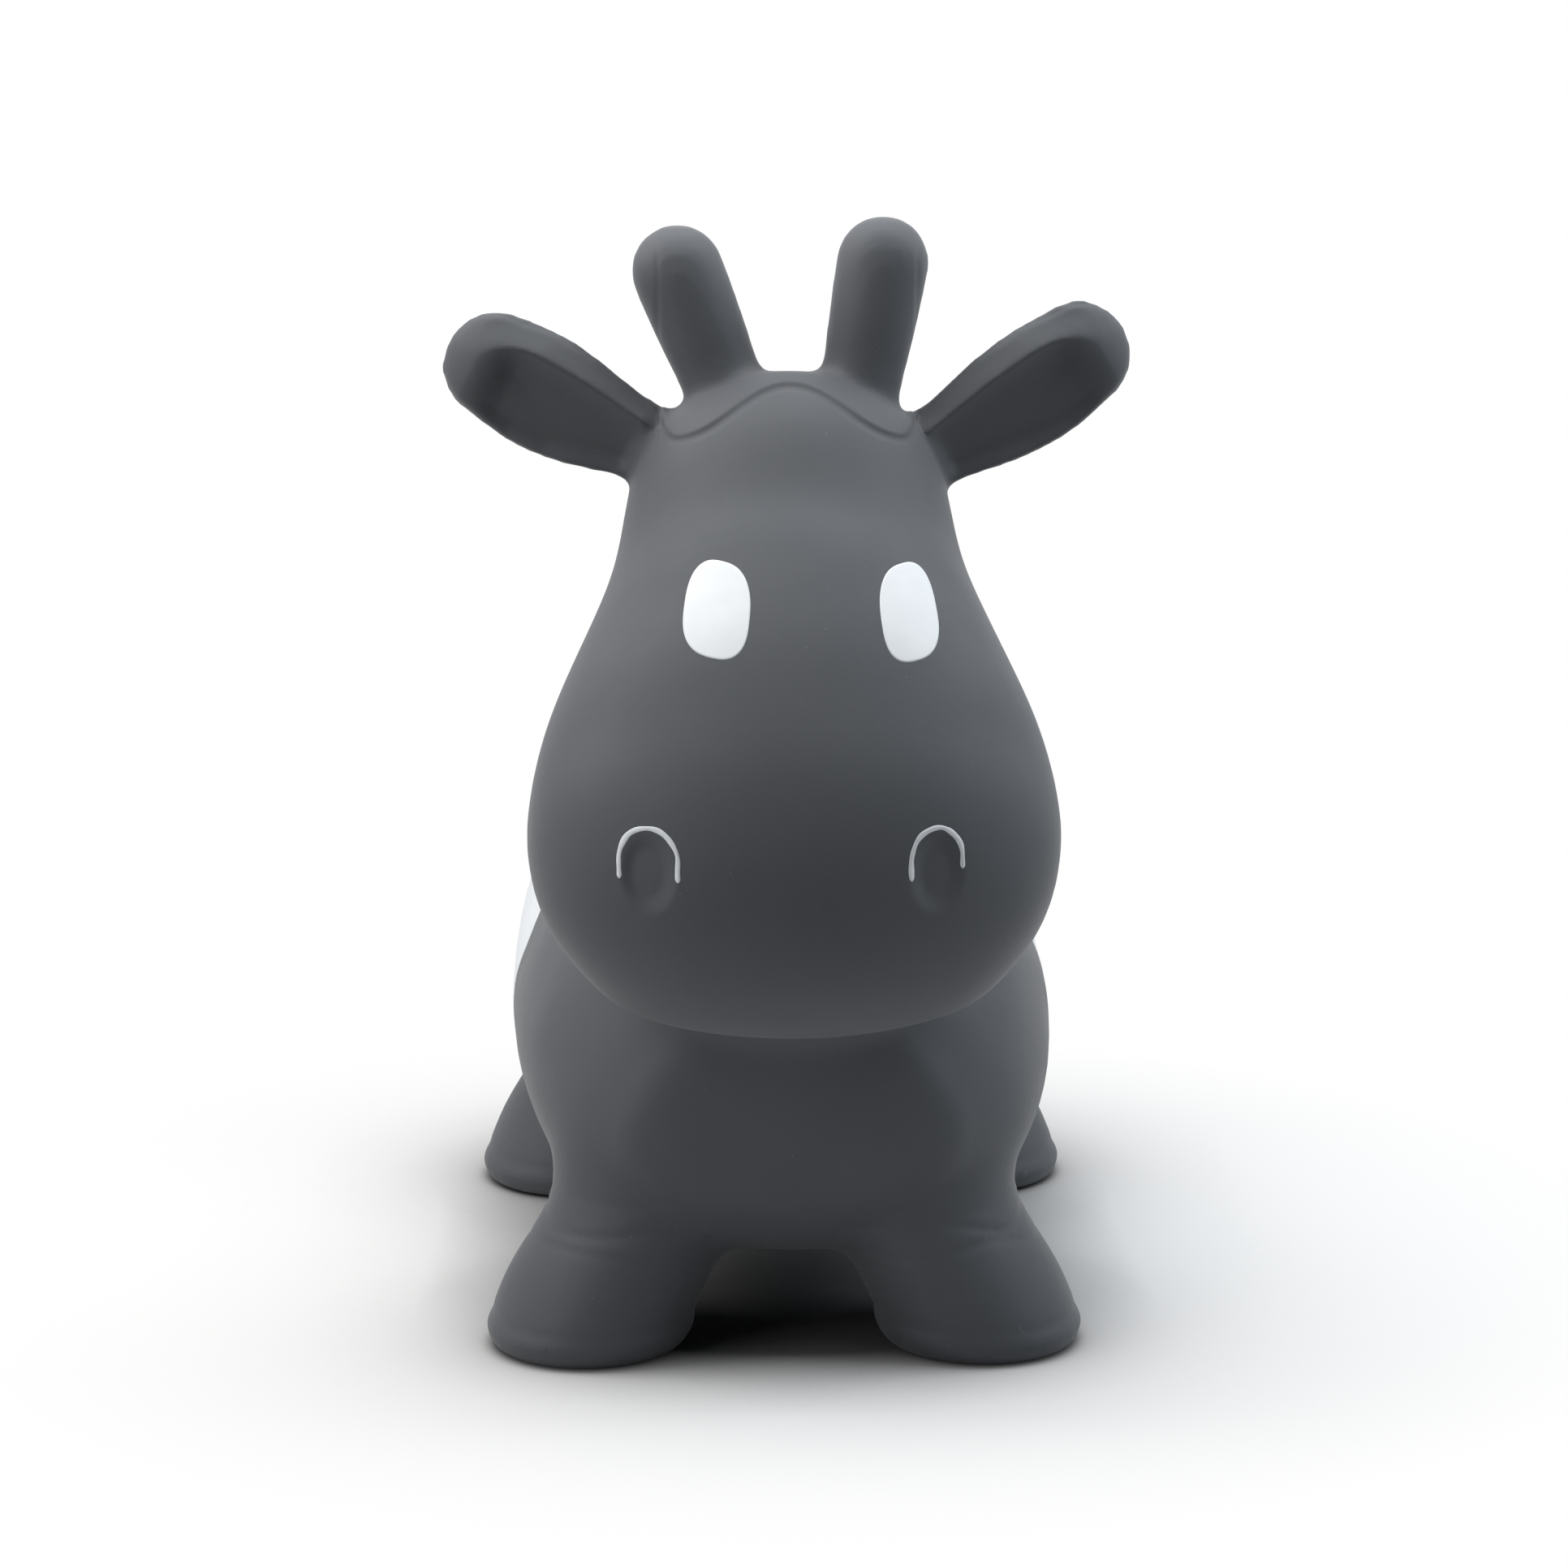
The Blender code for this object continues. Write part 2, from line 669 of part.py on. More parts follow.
def heights_around(mesh, radius):
    """The heights of a mesh's underside round the valve, the middle included."""
    corners = [vertex.co for vertex in mesh.vertices]
    tree = BVHTree.FromPolygons(corners, [face.vertices for face in mesh.polygons])
    heights = []
    for i in range(TURNED_STEPS):
        angle = 2 * math.pi * i / TURNED_STEPS
        for reach in (0, radius):
            below = Vector((reach * math.cos(angle), VALVE_Y + reach * math.sin(angle), -REACH))
            heights.append(tree.ray_cast(below, Z_AXIS)[0].z)
    return heights


clear_scene()
part = new_collection("bouncy_cow")
helpers = new_collection("cutters")

rubber = new_material("blue_grey_rubber", (0.083, 0.089, 0.103), 0.55)
valve_rubber = new_material("valve_rubber", (0.055, 0.058, 0.066), 0.60)
white_plastic = new_material("white_plastic", (0.78, 0.79, 0.80), 0.40)
white_paint = new_material("white_paint", (0.80, 0.83, 0.85), 0.50)

outside, inside = skin_solids()
shell = reshaped(outside, ("BOOLEAN", {"operation": "DIFFERENCE", "object": helper("inside", inside)}))
paint_layer = reshaped(
    outside,
    ("DISPLACE", {"strength": GAP, "mid_level": 0}),
    ("SOLIDIFY", {"thickness": PAINT, "offset": 1, "use_even_offset": True}),
)

floor_pivot = new_pivot("legs", Vector((0, 0, 0)))
torso_pivot = new_pivot("bounce", Vector((0, 0, BELLY_HEIGHT - ANKLE_DROP)))
neck_middle, neck_way = neck_band()
head_pivot = new_pivot("head_nod", neck_middle)

# Legs and torso
ankle_spaces = []
middle_y = (FRONT_FOOT_Y + REAR_FOOT_Y) / 2
for side_name, x_sign in SIDES:
    outline = ankle_outline(x_sign, 0)
    name = f"ankle_space_{side_name}"
    ankle_spaces.append(prism(name, outline, Vector(), X_AXIS, Z_AXIS, -REACH, 2 * REACH))
    for leg_name, start in (("front", 0), ("rear", -REACH)):
        name = f"leg_{leg_name}_{side_name}"
        origin = Y_AXIS * middle_y
        outline = ankle_outline(x_sign, GAP)
        space = prism(f"{name}_space", outline, origin, X_AXIS, Z_AXIS, start, REACH)
        cut(new_piece(name, shell, rubber, floor_pivot), space, "INTERSECT")

torso = new_piece("torso", shell, rubber, torso_pivot)
cut(torso, half_space("beyond_torso", neck_middle - neck_way * NECK_BAND / 2, neck_way, REACH))
for space in ankle_spaces:
    cut(torso, space)

neck = new_piece("neck", shell, rubber, torso_pivot)
band_start = neck_middle - neck_way * (NECK_BAND / 2 - GAP)
cut(neck, half_space("neck_space", band_start, neck_way, NECK_BAND - 2 * GAP), "INTERSECT")

# Head, ears and horns
head = new_piece("head", shell, rubber, head_pivot)
cut(head, half_space("head_space", neck_middle + neck_way * NECK_BAND / 2, neck_way, REACH), "INTERSECT")
for side_name, x_sign in SIDES:
    ear_reach = EAR_WIDTH / 2 * EAR_FLEX_REACH_SHARE
    horn_reach = HORN_TIP_RADIUS * HORN_FLEX_REACH_SHARE
    for kind, (root, tip), rise, radius, half_extent in (
        ("ear", ear_ends(x_sign, side_name), EAR_FLEX_RISE, EAR_FLEX_RADIUS, ear_reach),
        ("horn", horn_ends(x_sign, side_name), HORN_FLEX_RISE, HORN_FLEX_RADIUS, horn_reach),
    ):
        name = f"{kind}_{side_name}"
        centre = root + (tip - root).normalized() * rise
        space = flex_cutter(f"{name}_space", centre, tip, radius, half_extent)
        cut(new_piece(name, shell, rubber, new_pivot(f"{name}_root", centre)), space, "INTERSECT")
        cut(head, flex_cutter(f"{name}_clearance", centre, tip, radius - GAP, half_extent))

# Paint
middle_of_head = Vector((0, between(CROWN_Y, CHIN_Y, 0.5), 0))
for side_name, x_sign in SIDES:
    tilt = math.radians(EYE_TILT_DEG[side_name])
    eye = rounded_oval(EYE_WIDTH[side_name], EYE_HEIGHT, EYE_ROUNDNESS_SHARE, tilt)
    for kind, outline, x, z in (
        ("eye", eye, EYE_X[side_name], EYE_Z),
        ("nostril_arch", arch_outline(), NOSTRIL_X[side_name], NOSTRIL_Z),
    ):
        name = f"{kind}_{side_name}"
        origin = middle_of_head + Vector((x, 0, z))
        space = prism(f"{name}_space", outline, origin, X_AXIS, Z_AXIS, 0, REACH)
        cut(new_piece(name, paint_layer, white_paint, head_pivot), space, "INTERSECT")
    name = f"flank_patch_{side_name}"
    origin = Vector((0, PATCH_Y, PATCH_Z))
    space = prism(f"{name}_space", patch_outline(), origin, Y_AXIS * x_sign, Z_AXIS, 0, REACH)
    cut(new_piece(name, paint_layer, white_paint, torso_pivot), space, "INTERSECT")

# Valve
face = min(heights_around(outside, SLEEVE_RADIUS))
inner_face = max(heights_around(inside, FLANGE_RADIUS)) + GAP
top = face + SLEEVE_LENGTH
seat_profile = [
    (FLANGE_RADIUS, inner_face + FLANGE),
    (FLANGE_RADIUS, inner_face),
    (SLEEVE_RADIUS, inner_face),
    (SLEEVE_RADIUS, face),
    (PLUG_HEAD_RADIUS + GAP, face),
    (PLUG_HEAD_RADIUS + GAP, face + PLUG_HEAD + GAP),
    (BORE_RADIUS, face + PLUG_HEAD + GAP),
    (BORE_RADIUS, top),
    (SLEEVE_RADIUS, top),
    (SLEEVE_RADIUS, inner_face + FLANGE),
]
valve_place = Vector((0, VALVE_Y, 0))
turned("valve_seat", seat_profile, valve_place, True, valve_rubber, torso_pivot)
stem = BORE_RADIUS - GAP
plug_profile = [
    (0, face + PLUG_LENGTH),
    (stem - PLUG_TAPER, face + PLUG_LENGTH),
    (stem, face + PLUG_LENGTH - PLUG_TAPER_LENGTH),
    (stem, face + PLUG_HEAD),
    (PLUG_HEAD_RADIUS, face + PLUG_HEAD),
    (PLUG_HEAD_RADIUS, face),
    (0, face),
]
plug_pivot = new_pivot("plug_pull", Vector((0, VALVE_Y, face)))
turned("valve_plug", plug_profile, valve_place, False, white_plastic, plug_pivot)
hole = bmesh.new()
hole_radius = SLEEVE_RADIUS + GAP
bmesh.ops.create_cone(
    hole,
    cap_ends=True,
    segments=TURNED_STEPS,
    radius1=hole_radius,
    radius2=hole_radius,
    depth=2 * SLEEVE_LENGTH,
)
bmesh.ops.translate(hole, verts=hole.verts, vec=Vector((0, VALVE_Y, face)))
cut(torso, helper("valve_hole", mesh_from(hole, "valve_hole")))
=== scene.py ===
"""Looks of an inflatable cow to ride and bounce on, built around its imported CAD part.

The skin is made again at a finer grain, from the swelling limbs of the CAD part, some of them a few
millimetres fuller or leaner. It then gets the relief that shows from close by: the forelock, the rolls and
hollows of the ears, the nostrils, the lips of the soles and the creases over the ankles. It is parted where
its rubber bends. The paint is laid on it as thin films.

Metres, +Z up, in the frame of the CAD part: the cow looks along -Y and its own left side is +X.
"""

import math

import bmesh
import bpy
import numpy as np
from mathutils import Matrix, Vector
from mathutils.bvhtree import BVHTree


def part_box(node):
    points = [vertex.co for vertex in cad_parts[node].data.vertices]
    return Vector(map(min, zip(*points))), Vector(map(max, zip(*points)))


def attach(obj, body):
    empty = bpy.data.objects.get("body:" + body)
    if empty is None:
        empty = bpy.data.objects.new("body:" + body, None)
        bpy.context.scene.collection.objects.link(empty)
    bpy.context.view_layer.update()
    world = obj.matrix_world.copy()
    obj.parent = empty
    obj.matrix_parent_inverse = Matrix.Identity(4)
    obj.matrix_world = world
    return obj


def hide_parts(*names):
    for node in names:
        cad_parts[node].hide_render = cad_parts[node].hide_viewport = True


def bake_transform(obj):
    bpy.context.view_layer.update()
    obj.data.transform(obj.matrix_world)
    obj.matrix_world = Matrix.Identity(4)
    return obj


# Skin, and how far outside it the rays start that look for it
WALL = 0.0025
REACH = 0.6

# Torso
TORSO_LENGTH = 0.428
TORSO_WIDTH = 0.235
BELLY_HEIGHT = 0.043
SEAT_HEIGHT = 0.268
CHEST_Y = -0.172
CHEST_CAP = 0.016
RUMP_CAP = 0.009
TORSO_DROOP_SHARE = 0.40

# Each row: share of the length from the chest, then half width, underside and top as shares
TORSO_SHARES = (
    (0.00, 0.62, 0.10, 0.60),
    (0.05, 0.78, 0.00, 0.76),
    (0.14, 0.91, -0.02, 0.90),
    (0.26, 0.98, 0.00, 0.97),
    (0.42, 1.00, 0.03, 0.955),
    (0.58, 1.00, 0.04, 0.96),
    (0.74, 0.98, 0.02, 1.00),
    (0.82, 0.95, 0.05, 0.98),
    (0.89, 0.87, 0.10, 0.92),
    (0.95, 0.71, 0.19, 0.82),
    (1.00, 0.43, 0.32, 0.68),
)

# Neck
NECK_WIDTH = 0.160
NECK_DEPTH = 0.150
NECK_FOOT = Vector((0, -0.040, 0.185))
NECK_HEAD = Vector((0, -0.140, 0.285))
NECK_CAP = 0.020
NECK_BAND = 0.032
NECK_BAND_SHARE = 0.44

# Head, along a slanted line from the crown to the chin
HEAD_WIDTH = 0.233
HEAD_DEPTH = 0.172
CROWN_Y = -0.092
CROWN_Z = 0.417
CHIN_Y = -0.207
CHIN_Z = 0.177
CROWN_CAP = 0.012
CHIN_CAP = 0.020

# The angle, in radians, at which the chin's round end is already turned where the head runs into it
CHIN_TURN = 0.30

# Each row: share of the way forward and of the way down, then half width and half depth as shares
HEAD_SHARES = (
    (0.00, 0.000, 0.390, 0.425),
    (0.05, 0.065, 0.550, 0.570),
    (0.11, 0.155, 0.612, 0.668),
    (0.20, 0.270, 0.650, 0.768),
    (0.33, 0.370, 0.725, 0.835),
    (0.47, 0.460, 0.825, 0.885),
    (0.61, 0.556, 0.923, 0.930),
    (0.73, 0.661, 0.983, 0.977),
    (0.82, 0.746, 1.000, 1.000),
    (0.90, 0.847, 0.961, 0.977),
    (0.96, 0.927, 0.867, 0.895),
    (1.00, 1.000, 0.721, 0.744),
)

# Legs
TRACK_FRONT = 0.1760
TRACK_REAR = 0.195
LEG_OFFSET_FRONT = -0.0026
FRONT_FOOT_Y = -0.135
REAR_FOOT_Y = 0.139
FOOT_WIDTH = 0.0925
FOOT_LENGTH = 0.102
LEG_HEIGHT = 0.130
FOOT_CAP = 0.013
LEG_LEAN = 0.030
TOE_REACH = 0.010
TOE_OUT_DEG = 8

# The legs are parted off at the ankles by two planes that start under the middle of the belly and rise to
# both sides
ANKLE_TILT_DEG = 18
ANKLE_HIGH = 0.0260

# Each row: share of the leg's height, share of the lean inwards, then half width and half length as shares
LEG_SHARES = (
    (0.00, 0.00, 1.00, 0.98),
    (0.05, 0.00, 1.02, 1.01),
    (0.12, 0.07, 0.97, 0.99),
    (0.24, 0.32, 1.01, 0.97),
    (0.37, 0.62, 0.97, 0.93),
    (0.48, 0.88, 0.95, 0.88),
    (0.58, 1.00, 0.97, 0.88),
    (0.77, 1.02, 1.00, 0.86),
    (1.00, 0.98, 0.84, 0.62),
    (1.32, 0.92, 0.45, 0.30),
)

# Horns, each from its root in the crown to the middle of its round tip
HORN_TIP_RADIUS = 0.0208
HORN_ROOT_RADIUS = 0.0175
HORN_ROOT_BACK = 0.006
HORN_ROOT_RISE = 0.009
HORN_LEAN_BACK = 0.006
HORN_SINK = 0.020
HORN_ROOT_X = {"left": 0.0325, "right": 0.0282}
HORN_SPREAD = {"left": 0.0096, "right": 0.0199}
HORN_LENGTH = {"left": 0.0530, "right": 0.0495}
HORN_BEND = (0.016, 0.042)
HORN_GIRTH = 0.028

# Each row: share of the way to the tip's middle and share of the swell from root to tip radius
HORN_SHARES = ((0.00, 0.00), (0.35, 0.50), (0.70, 0.85), (1.00, 1.00))

# Ears, each from its root on the side of the head to the middle of its round end
EAR_WIDTH = 0.053
EAR_THICKNESS = 0.021
EAR_ROOT_BACK = 0.006
EAR_SWEEP_BACK = 0.008
EAR_SINK = 0.020
EAR_CAP = 0.0235
EAR_ROOT_OUT_SHARE = 0.55
EAR_ROOT_DROP = {"left": 0.020, "right": 0.016}
EAR_SPREAD = {"left": 0.0660, "right": 0.0650}
EAR_RISE = {"left": 0.0410, "right": 0.0335}
EAR_BEND = (0.012, 0.046)
EAR_GIRTH = 0.036

# Each row: share of the way to the round end, then half width and half thickness as shares
EAR_SHARES = (
    (0.00, 0.70, 1.00),
    (0.25, 0.87, 0.96),
    (0.50, 1.03, 0.98),
    (0.75, 1.08, 1.00),
    (1.00, 0.98, 0.92),
)

# Front of an ear: a roll along the upper edge and round the tip, and a hollow that runs out at the lower edge
EAR_TURN_DEG = 7
EAR_SAG = 0.0018
EAR_ROLL_SHARE = 0.48
EAR_ROLL_WIDTH = 0.013
EAR_ROLL_RELIEF = 0.0036
EAR_ROLL_BEVEL = 0.0014
EAR_HOLLOW_DEPTH = 0.0100
EAR_HOLLOW_SOFTNESS = 0.0070
EAR_HOLLOW_CORNER = 0.013
EAR_HOLLOW_END_SHARE = 1.10
EAR_HOLLOW_END_SLANT = 0.6
EAR_HOLLOW_FADE = 0.020
EAR_FRONT_FADE = EAR_THICKNESS / 5
EAR_BACK_FADE = EAR_THICKNESS / 4
EAR_ROOT_FADE = EAR_SINK / 4
EAR_RIM_INSET = 0.0036
EAR_RIM_HALF = 0.0018
EAR_RIM_DEPTH = 0.0005

# Tail, a short rounded stub that hangs on the rump
TAIL_WIDTH = 0.024
TAIL_RELIEF = 0.009
TAIL_TOP_Z = 0.215
TAIL_LENGTH = 0.085

# Nostrils, pressed into the muzzle under a painted arch
NOSTRIL_X = {"left": 0.0573, "right": -0.0636}
NOSTRIL_Z = 0.2455
NOSTRIL_WIDTH = 0.0255
NOSTRIL_HEIGHT = 0.0375
NOSTRIL_DROP = 0.004
NOSTRIL_DEPTH = 0.0028
NOSTRIL_EDGE_SHARE = 0.55
NOSTRIL_FINE_SHARE = 0.4
ARCH_Z = 0.2470
ARCH_WIDTH = {"left": 0.0221, "right": 0.0245}
ARCH_HEIGHT = 0.0262
ARCH_STROKE = 0.0021
ARCH_RELIEF = 0.00035
ARCH_LEG_SHARES = {"left": (0.36, 0.60), "right": (0.62, 0.66)}
ARCH_LEAST = 0.0001
ARCH_END_SHARE = 0.035
ARCH_WOBBLE_SHARE = 0.12
ARCH_DRIFT_SHARE = 0.05
ARCH_DRIFT_TURNS = 27

# Each row: how often an arch's width swells along it, by what share, and how the phase turns it
ARCH_WOBBLES = ((19, 1.0, 1), (43, 0.6, 2))

# Forelock, raised a little above a wavy edge. Heights are measured square to the line of sight
FORELOCK_RELIEF = 0.0009
FORELOCK_EDGE = 0.0020
FORELOCK_FADE = 0.034
FORELOCK_GROOVE = 0.0003
FORELOCK_PEAK = 0.3939
FORELOCK_DIP = 0.0228
FORELOCK_LOBE_X = 0.0487
FORELOCK_END_X = 0.0560
FORELOCK_END_RISE = 0.014
FORELOCK_FACING_LOW = 0.05
FORELOCK_FACING_SPAN = 0.3
SLOPE_STEP = 0.001

# Feet. The lip and the notch over it are fainter in front than at the sides
LIP_HEIGHT = 0.0095
LIP_RELIEF = 0.0007
LIP_HALF = 0.0050
NOTCH_HEIGHT = 0.0155
NOTCH_DEPTH = 0.0003
NOTCH_HALF = 0.0035
LIP_FRONT_SHARE = 0.35
SOLE_ROUNDING = 0.0080
SOLE_INSET = 0.0048
LIP_LOOPS = (0.0003, 0.0010, 0.0020, 0.0034, 0.0050, 0.0068, 0.0088, 0.0106, 0.0124, 0.0142, 0.0160)

# Creases over the ankles. Each row: height, half width, depth
CREASES = ((0.0500, 0.0030, 0.0008), (0.0590, 0.0034, 0.0009), (0.0680, 0.0032, 0.0005))
CREASE_OUTER_SHARE = 0.6
CREASE_WANDER = 60

# How fast the relief of the feet comes up as the skin turns to a side, to the front or outwards
SIDE_GAIN = 2
FRONT_GAIN = 1.5
OUTER_GAIN = 1.2

# Uneven swelling of the pumped skin
SWELL = 0.0004
SWELL_LENGTHS = (0.150, 0.110, 0.075)
SWELL_FADE = 0.03

# Painted eyes
EYE_X = {"left": 0.0482, "right": -0.0334}
EYE_Z = {"left": 0.3420, "right": 0.3445}
EYE_WIDTH = {"left": 0.0245, "right": 0.0276}
EYE_HEIGHT = 0.0363
EYE_TILT_DEG = {"left": 8, "right": -9}
EYE_ROUNDNESS_SHARE = 0.76
EYE_TAPER_SHARE = 0.08

# Painted flank patches
PATCH_Y = {"left": 0.060, "right": 0.063}
PATCH_Z = 0.139
PATCH_LENGTH = 0.150
PATCH_HEIGHT = 0.112
PATCH_BOX_SHARE = 0.90
PATCH_SLANT = 0.45
PATCH_NOTCH_SHARE = 0.14
PATCH_NOTCH_DEG = -8
PATCH_NOTCH_HALF_DEG = 22

# Each row: how many lobes the patch's edge has, their share of its reach, and where the first one is
PATCH_WAVES = ((3, 0.08, 70), (4, 0.04, 20), (5, 0.03, 10))

# Paint: how far it stands out and how far it reaches in
PAINT = 0.00022
PAINT_SUNK = 0.0003
FILM_SPACING = 1.5

# Valve in the belly
VALVE_Y = 0.030
VALVE_CLEARANCE = 0.0002
VALVE_ROUNDING = 0.0006
VALVE_CORNER_DEG = 30
VALVE_COLLAR = 0.0040
SLEEVE_RADIUS = 0.0095
FLANGE_THICKNESS = 0.0025
BORE_RADIUS = 0.0045
PLUG_HEAD = 0.0020
PLUG_TIP_SHARE = 0.75
TURNED_STEPS = 72

# How fine the skin is, and how often it is smoothed
VOXEL = 0.0025
BODY_SMOOTHING = 64
ROW_PULL_SHARE = 0.5
SKIN_SMOOTHING = 15
RELIEF_SMOOTHING = 4
LIMB_SMOOTHING = 24
RING_POINTS = 64
RINGS_PER_SPAN = 8
CAP_RINGS = 10
OUTLINE_POINTS = 144
FILM_RINGS = 14
STROKE_STEPS = 72
STROKE_SIDES = 9

# Rubber. A grain is its noise's scale and detail, and the depth of its bump
RUBBER_TONES = ((0.077, 0.083, 0.093), (0.090, 0.095, 0.104), (0.30, 0.31, 0.32))
RUBBER_ROUGHNESS = 0.56
SEAT_TONES = ((0.048, 0.051, 0.058), (0.060, 0.063, 0.070), (0.2, 0.2, 0.2))
SEAT_ROUGHNESS = 0.58
ROUGHNESS_SPREAD = 0.05
RUBBER_SPECULAR = 0.20
RUBBER_SHEEN = 0.14
SHEEN_ROUGHNESS = 0.40
CLOUD_SCALE = 9
SPECKLE_SCALE = 1400
SPECKLE_SHARE = 0.25
DUST_SCALE = 90
DUST_SHARE = 0.35
DUST_RADII = (0.020, 0.035)
RUB_SCALE = 26
RUBBER_GRAINS = ((160, 3, 0.00008), (1800, 3, 0.00003))

# Paint and plastic
PAINT_TONES = ((0.76, 0.79, 0.82), (0.80, 0.83, 0.85))
PAINT_ROUGHNESS = 0.5
PAINT_SPECULAR = 0.35
PAINT_SCALE = 60
PAINT_GRAINS = ((260, 4, 0.00006), (2200, 2, 0.00002))
PLASTIC_TONES = ((0.74, 0.75, 0.76), (0.80, 0.81, 0.82))
PLASTIC_ROUGHNESS = 0.38
PLASTIC_SCALE = 300
PLASTIC_GRAINS = ((1500, 2, 0.00002),)

# Lamps, all aimed at one point. Each row: name, place, size, power, colour
LAMP_TARGET = Vector((0, 0, 0.25))
LAMPS = (
    ("top", (0, -0.05, 0.95), (0.9, 0.6), 5.6, (1, 1, 1)),
    ("left_high", (-0.8, 0, 0.95), (0.7, 0.7), 6.8, (1, 0.99, 0.98)),
    ("right_high", (0.8, 0, 0.95), (0.7, 0.7), 3.8, (0.92, 0.96, 1)),
    ("right", (1.1, 0, 0.85), (1.0, 1.0), 4.0, (0.84, 0.93, 1)),
    ("left_front", (-1.3, -1.0, 0.8), (1.0, 1.2), 5.5, (1, 0.99, 0.98)),
)
WORLD_TONE = (0.93, 0.96, 1.0)
WORLD_STRENGTH = 0.01

# Floor: where it runs out to white, and how far the shade painted into its colour under the cow reaches
FLOOR_HALF = 12
FLOOR_DROP = 0.0002
FLOOR_FADE = (0.16, 0.42)
FLOOR_TONE = (0.80, 0.80, 0.80)
SHADE_TONES = ((0.13, 0.13, 0.13), (0.98, 0.98, 0.98))
SHADE_REACH = 0.10
SHADE_START = 0.30
EDGE_SHADE = (0.02, 0.02, 0.02)
EDGE_SHADE_REACH = 0.05
SHADE_SAMPLES = 16

# Camera, fitted to the photograph's outline of the cow
VIEW_TARGET = Vector((0, -0.150, 0.257))
VIEW_DISTANCE = 2.4
VIEW_ELEVATION_DEG = 11.8
VIEW_YAW_DEG = 2.0
VIEW_SIZE = 0.68586
SENSOR = 36
FRAME_PIXELS = 1932
SHIFT_PIXELS = 9

X_AXIS = Vector((1, 0, 0))
Y_AXIS = Vector((0, 1, 0))
Z_AXIS = Vector((0, 0, 1))
SIDES = (("left", 1), ("right", -1))
LEGS = (
    ("front", FRONT_FOOT_Y, TRACK_FRONT, LEG_OFFSET_FRONT),
    ("rear", REAR_FOOT_Y, TRACK_REAR, 0),
)


def between(start, end, share):
    return start + (end - start) * share


def eased(values):
    """A smooth step from 0 to 1 as the values go from 0 to 1."""
    values = np.clip(values, 0, 1)
    return values * values * (3 - 2 * values)


def bump(values):
    """A smooth hump, 1 at 0 and 0 beyond 1 on both sides."""
    return 1 - eased(np.abs(values))


def turns(count):
    """Evenly spaced angles once round."""
    return [2 * math.pi * i / count for i in range(count)]


def through(rows, place):
    """The row at a fractional place in a table, on a smooth curve drawn close to its rows."""
    last = len(rows) - 1
    index = min(int(place), last - 1)
    t = place - index
    drawn = []
    for i in range(index - 1, index + 3):
        before, here, after = (rows[min(max(k, 0), last)] for k in (i - 1, i, i + 1))
        if 0 < i < last:
            here = here - (before - 2 * here + after) * ROW_PULL_SHARE / 6
        drawn.append(here)
    if index == 0:
        drawn[0] = 2 * drawn[1] - drawn[2]
    if index == last - 1:
        drawn[3] = 2 * drawn[2] - drawn[1]
    weights = ((1 - t) ** 3, 3 * t**3 - 6 * t**2 + 4, -3 * t**3 + 3 * t**2 + 3 * t + 1, t**3)
    return sum(row * weight for row, weight in zip(drawn, weights)) / 6


def oval(mesh, centre, side, depth, half_side, half_depth, droop):
    """One ring of vertices. With droop it is egg-shaped, wider where depth points."""
    ring = []
    for angle in turns(RING_POINTS):
        out = side * half_side * math.cos(angle) * (1 + droop * math.sin(angle))
        ring.append(mesh.verts.new(centre + out + depth * half_depth * math.sin(angle)))
    return ring


def join_rings(mesh, first, second):
    for i in range(len(first)):
        j = (i + 1) % len(first)
        mesh.faces.new((first[i], first[j], second[j], second[i]))


def add_cap(mesh, centre, outward, across, depth, row, length, droop, start=0):
    """A rounded end: its pole and the rings between the pole and the limb.

    Where the limb runs into it, it is already turned by the start's angle.
    """
    rings = []
    for i in range(1, CAP_RINGS):
        angle = start + (math.pi / 2 - start) * i / CAP_RINGS
        shrink = math.cos(angle) / math.cos(start)
        middle = centre + outward * length * (math.sin(angle) - math.sin(start)) / (1 - math.sin(start))
        rings.append(oval(mesh, middle, across, depth, row[3] * shrink, row[4] * shrink, droop))
    return mesh.verts.new(centre + outward * length), rings


def add_limb(mesh, stations, side, caps, along=None, droop=0, end_turn=0):
    """A closed swelling tube. A station is its centre, half its width along side and half its depth."""
    rows = np.array([(*centre, half_side, half_depth) for centre, half_side, half_depth in stations])
    places = np.linspace(0, len(rows) - 1, (len(rows) - 1) * RINGS_PER_SPAN + 1)
    smooth = [through(rows, place) for place in places]
    centres = [Vector(row[:3]) for row in smooth]
    rings = []
    for i, row in enumerate(smooth):
        ahead = along or (centres[min(i + 1, len(centres) - 1)] - centres[max(i - 1, 0)]).normalized()
        depth = ahead.cross(side).normalized()
        across = depth.cross(ahead).normalized()
        if i == 0:
            pole_before, before = add_cap(mesh, centres[0], -ahead, across, depth, row, caps[0], droop)
            rings.extend(reversed(before))
        rings.append(oval(mesh, centres[i], across, depth, row[3], row[4], droop))
    end = (ahead, across, depth, smooth[-1], caps[1], droop, end_turn)
    pole_after, after = add_cap(mesh, centres[-1], *end)
    rings.extend(after)
    for lower, upper in zip(rings, rings[1:]):
        join_rings(mesh, lower, upper)
    for i in range(RING_POINTS):
        mesh.faces.new((pole_before, rings[0][i], rings[0][i - 1]))
        mesh.faces.new((pole_after, rings[-1][i - 1], rings[-1][i]))


def torso_stations():
    stations = []
    for along, width, under, top in TORSO_SHARES:
        low = between(BELLY_HEIGHT, SEAT_HEIGHT, under)
        high = between(BELLY_HEIGHT, SEAT_HEIGHT, top)
        centre = Vector((0, CHEST_Y + TORSO_LENGTH * along, (low + high) / 2))
        stations.append((centre, TORSO_WIDTH / 2 * width, (high - low) / 2))
    return stations


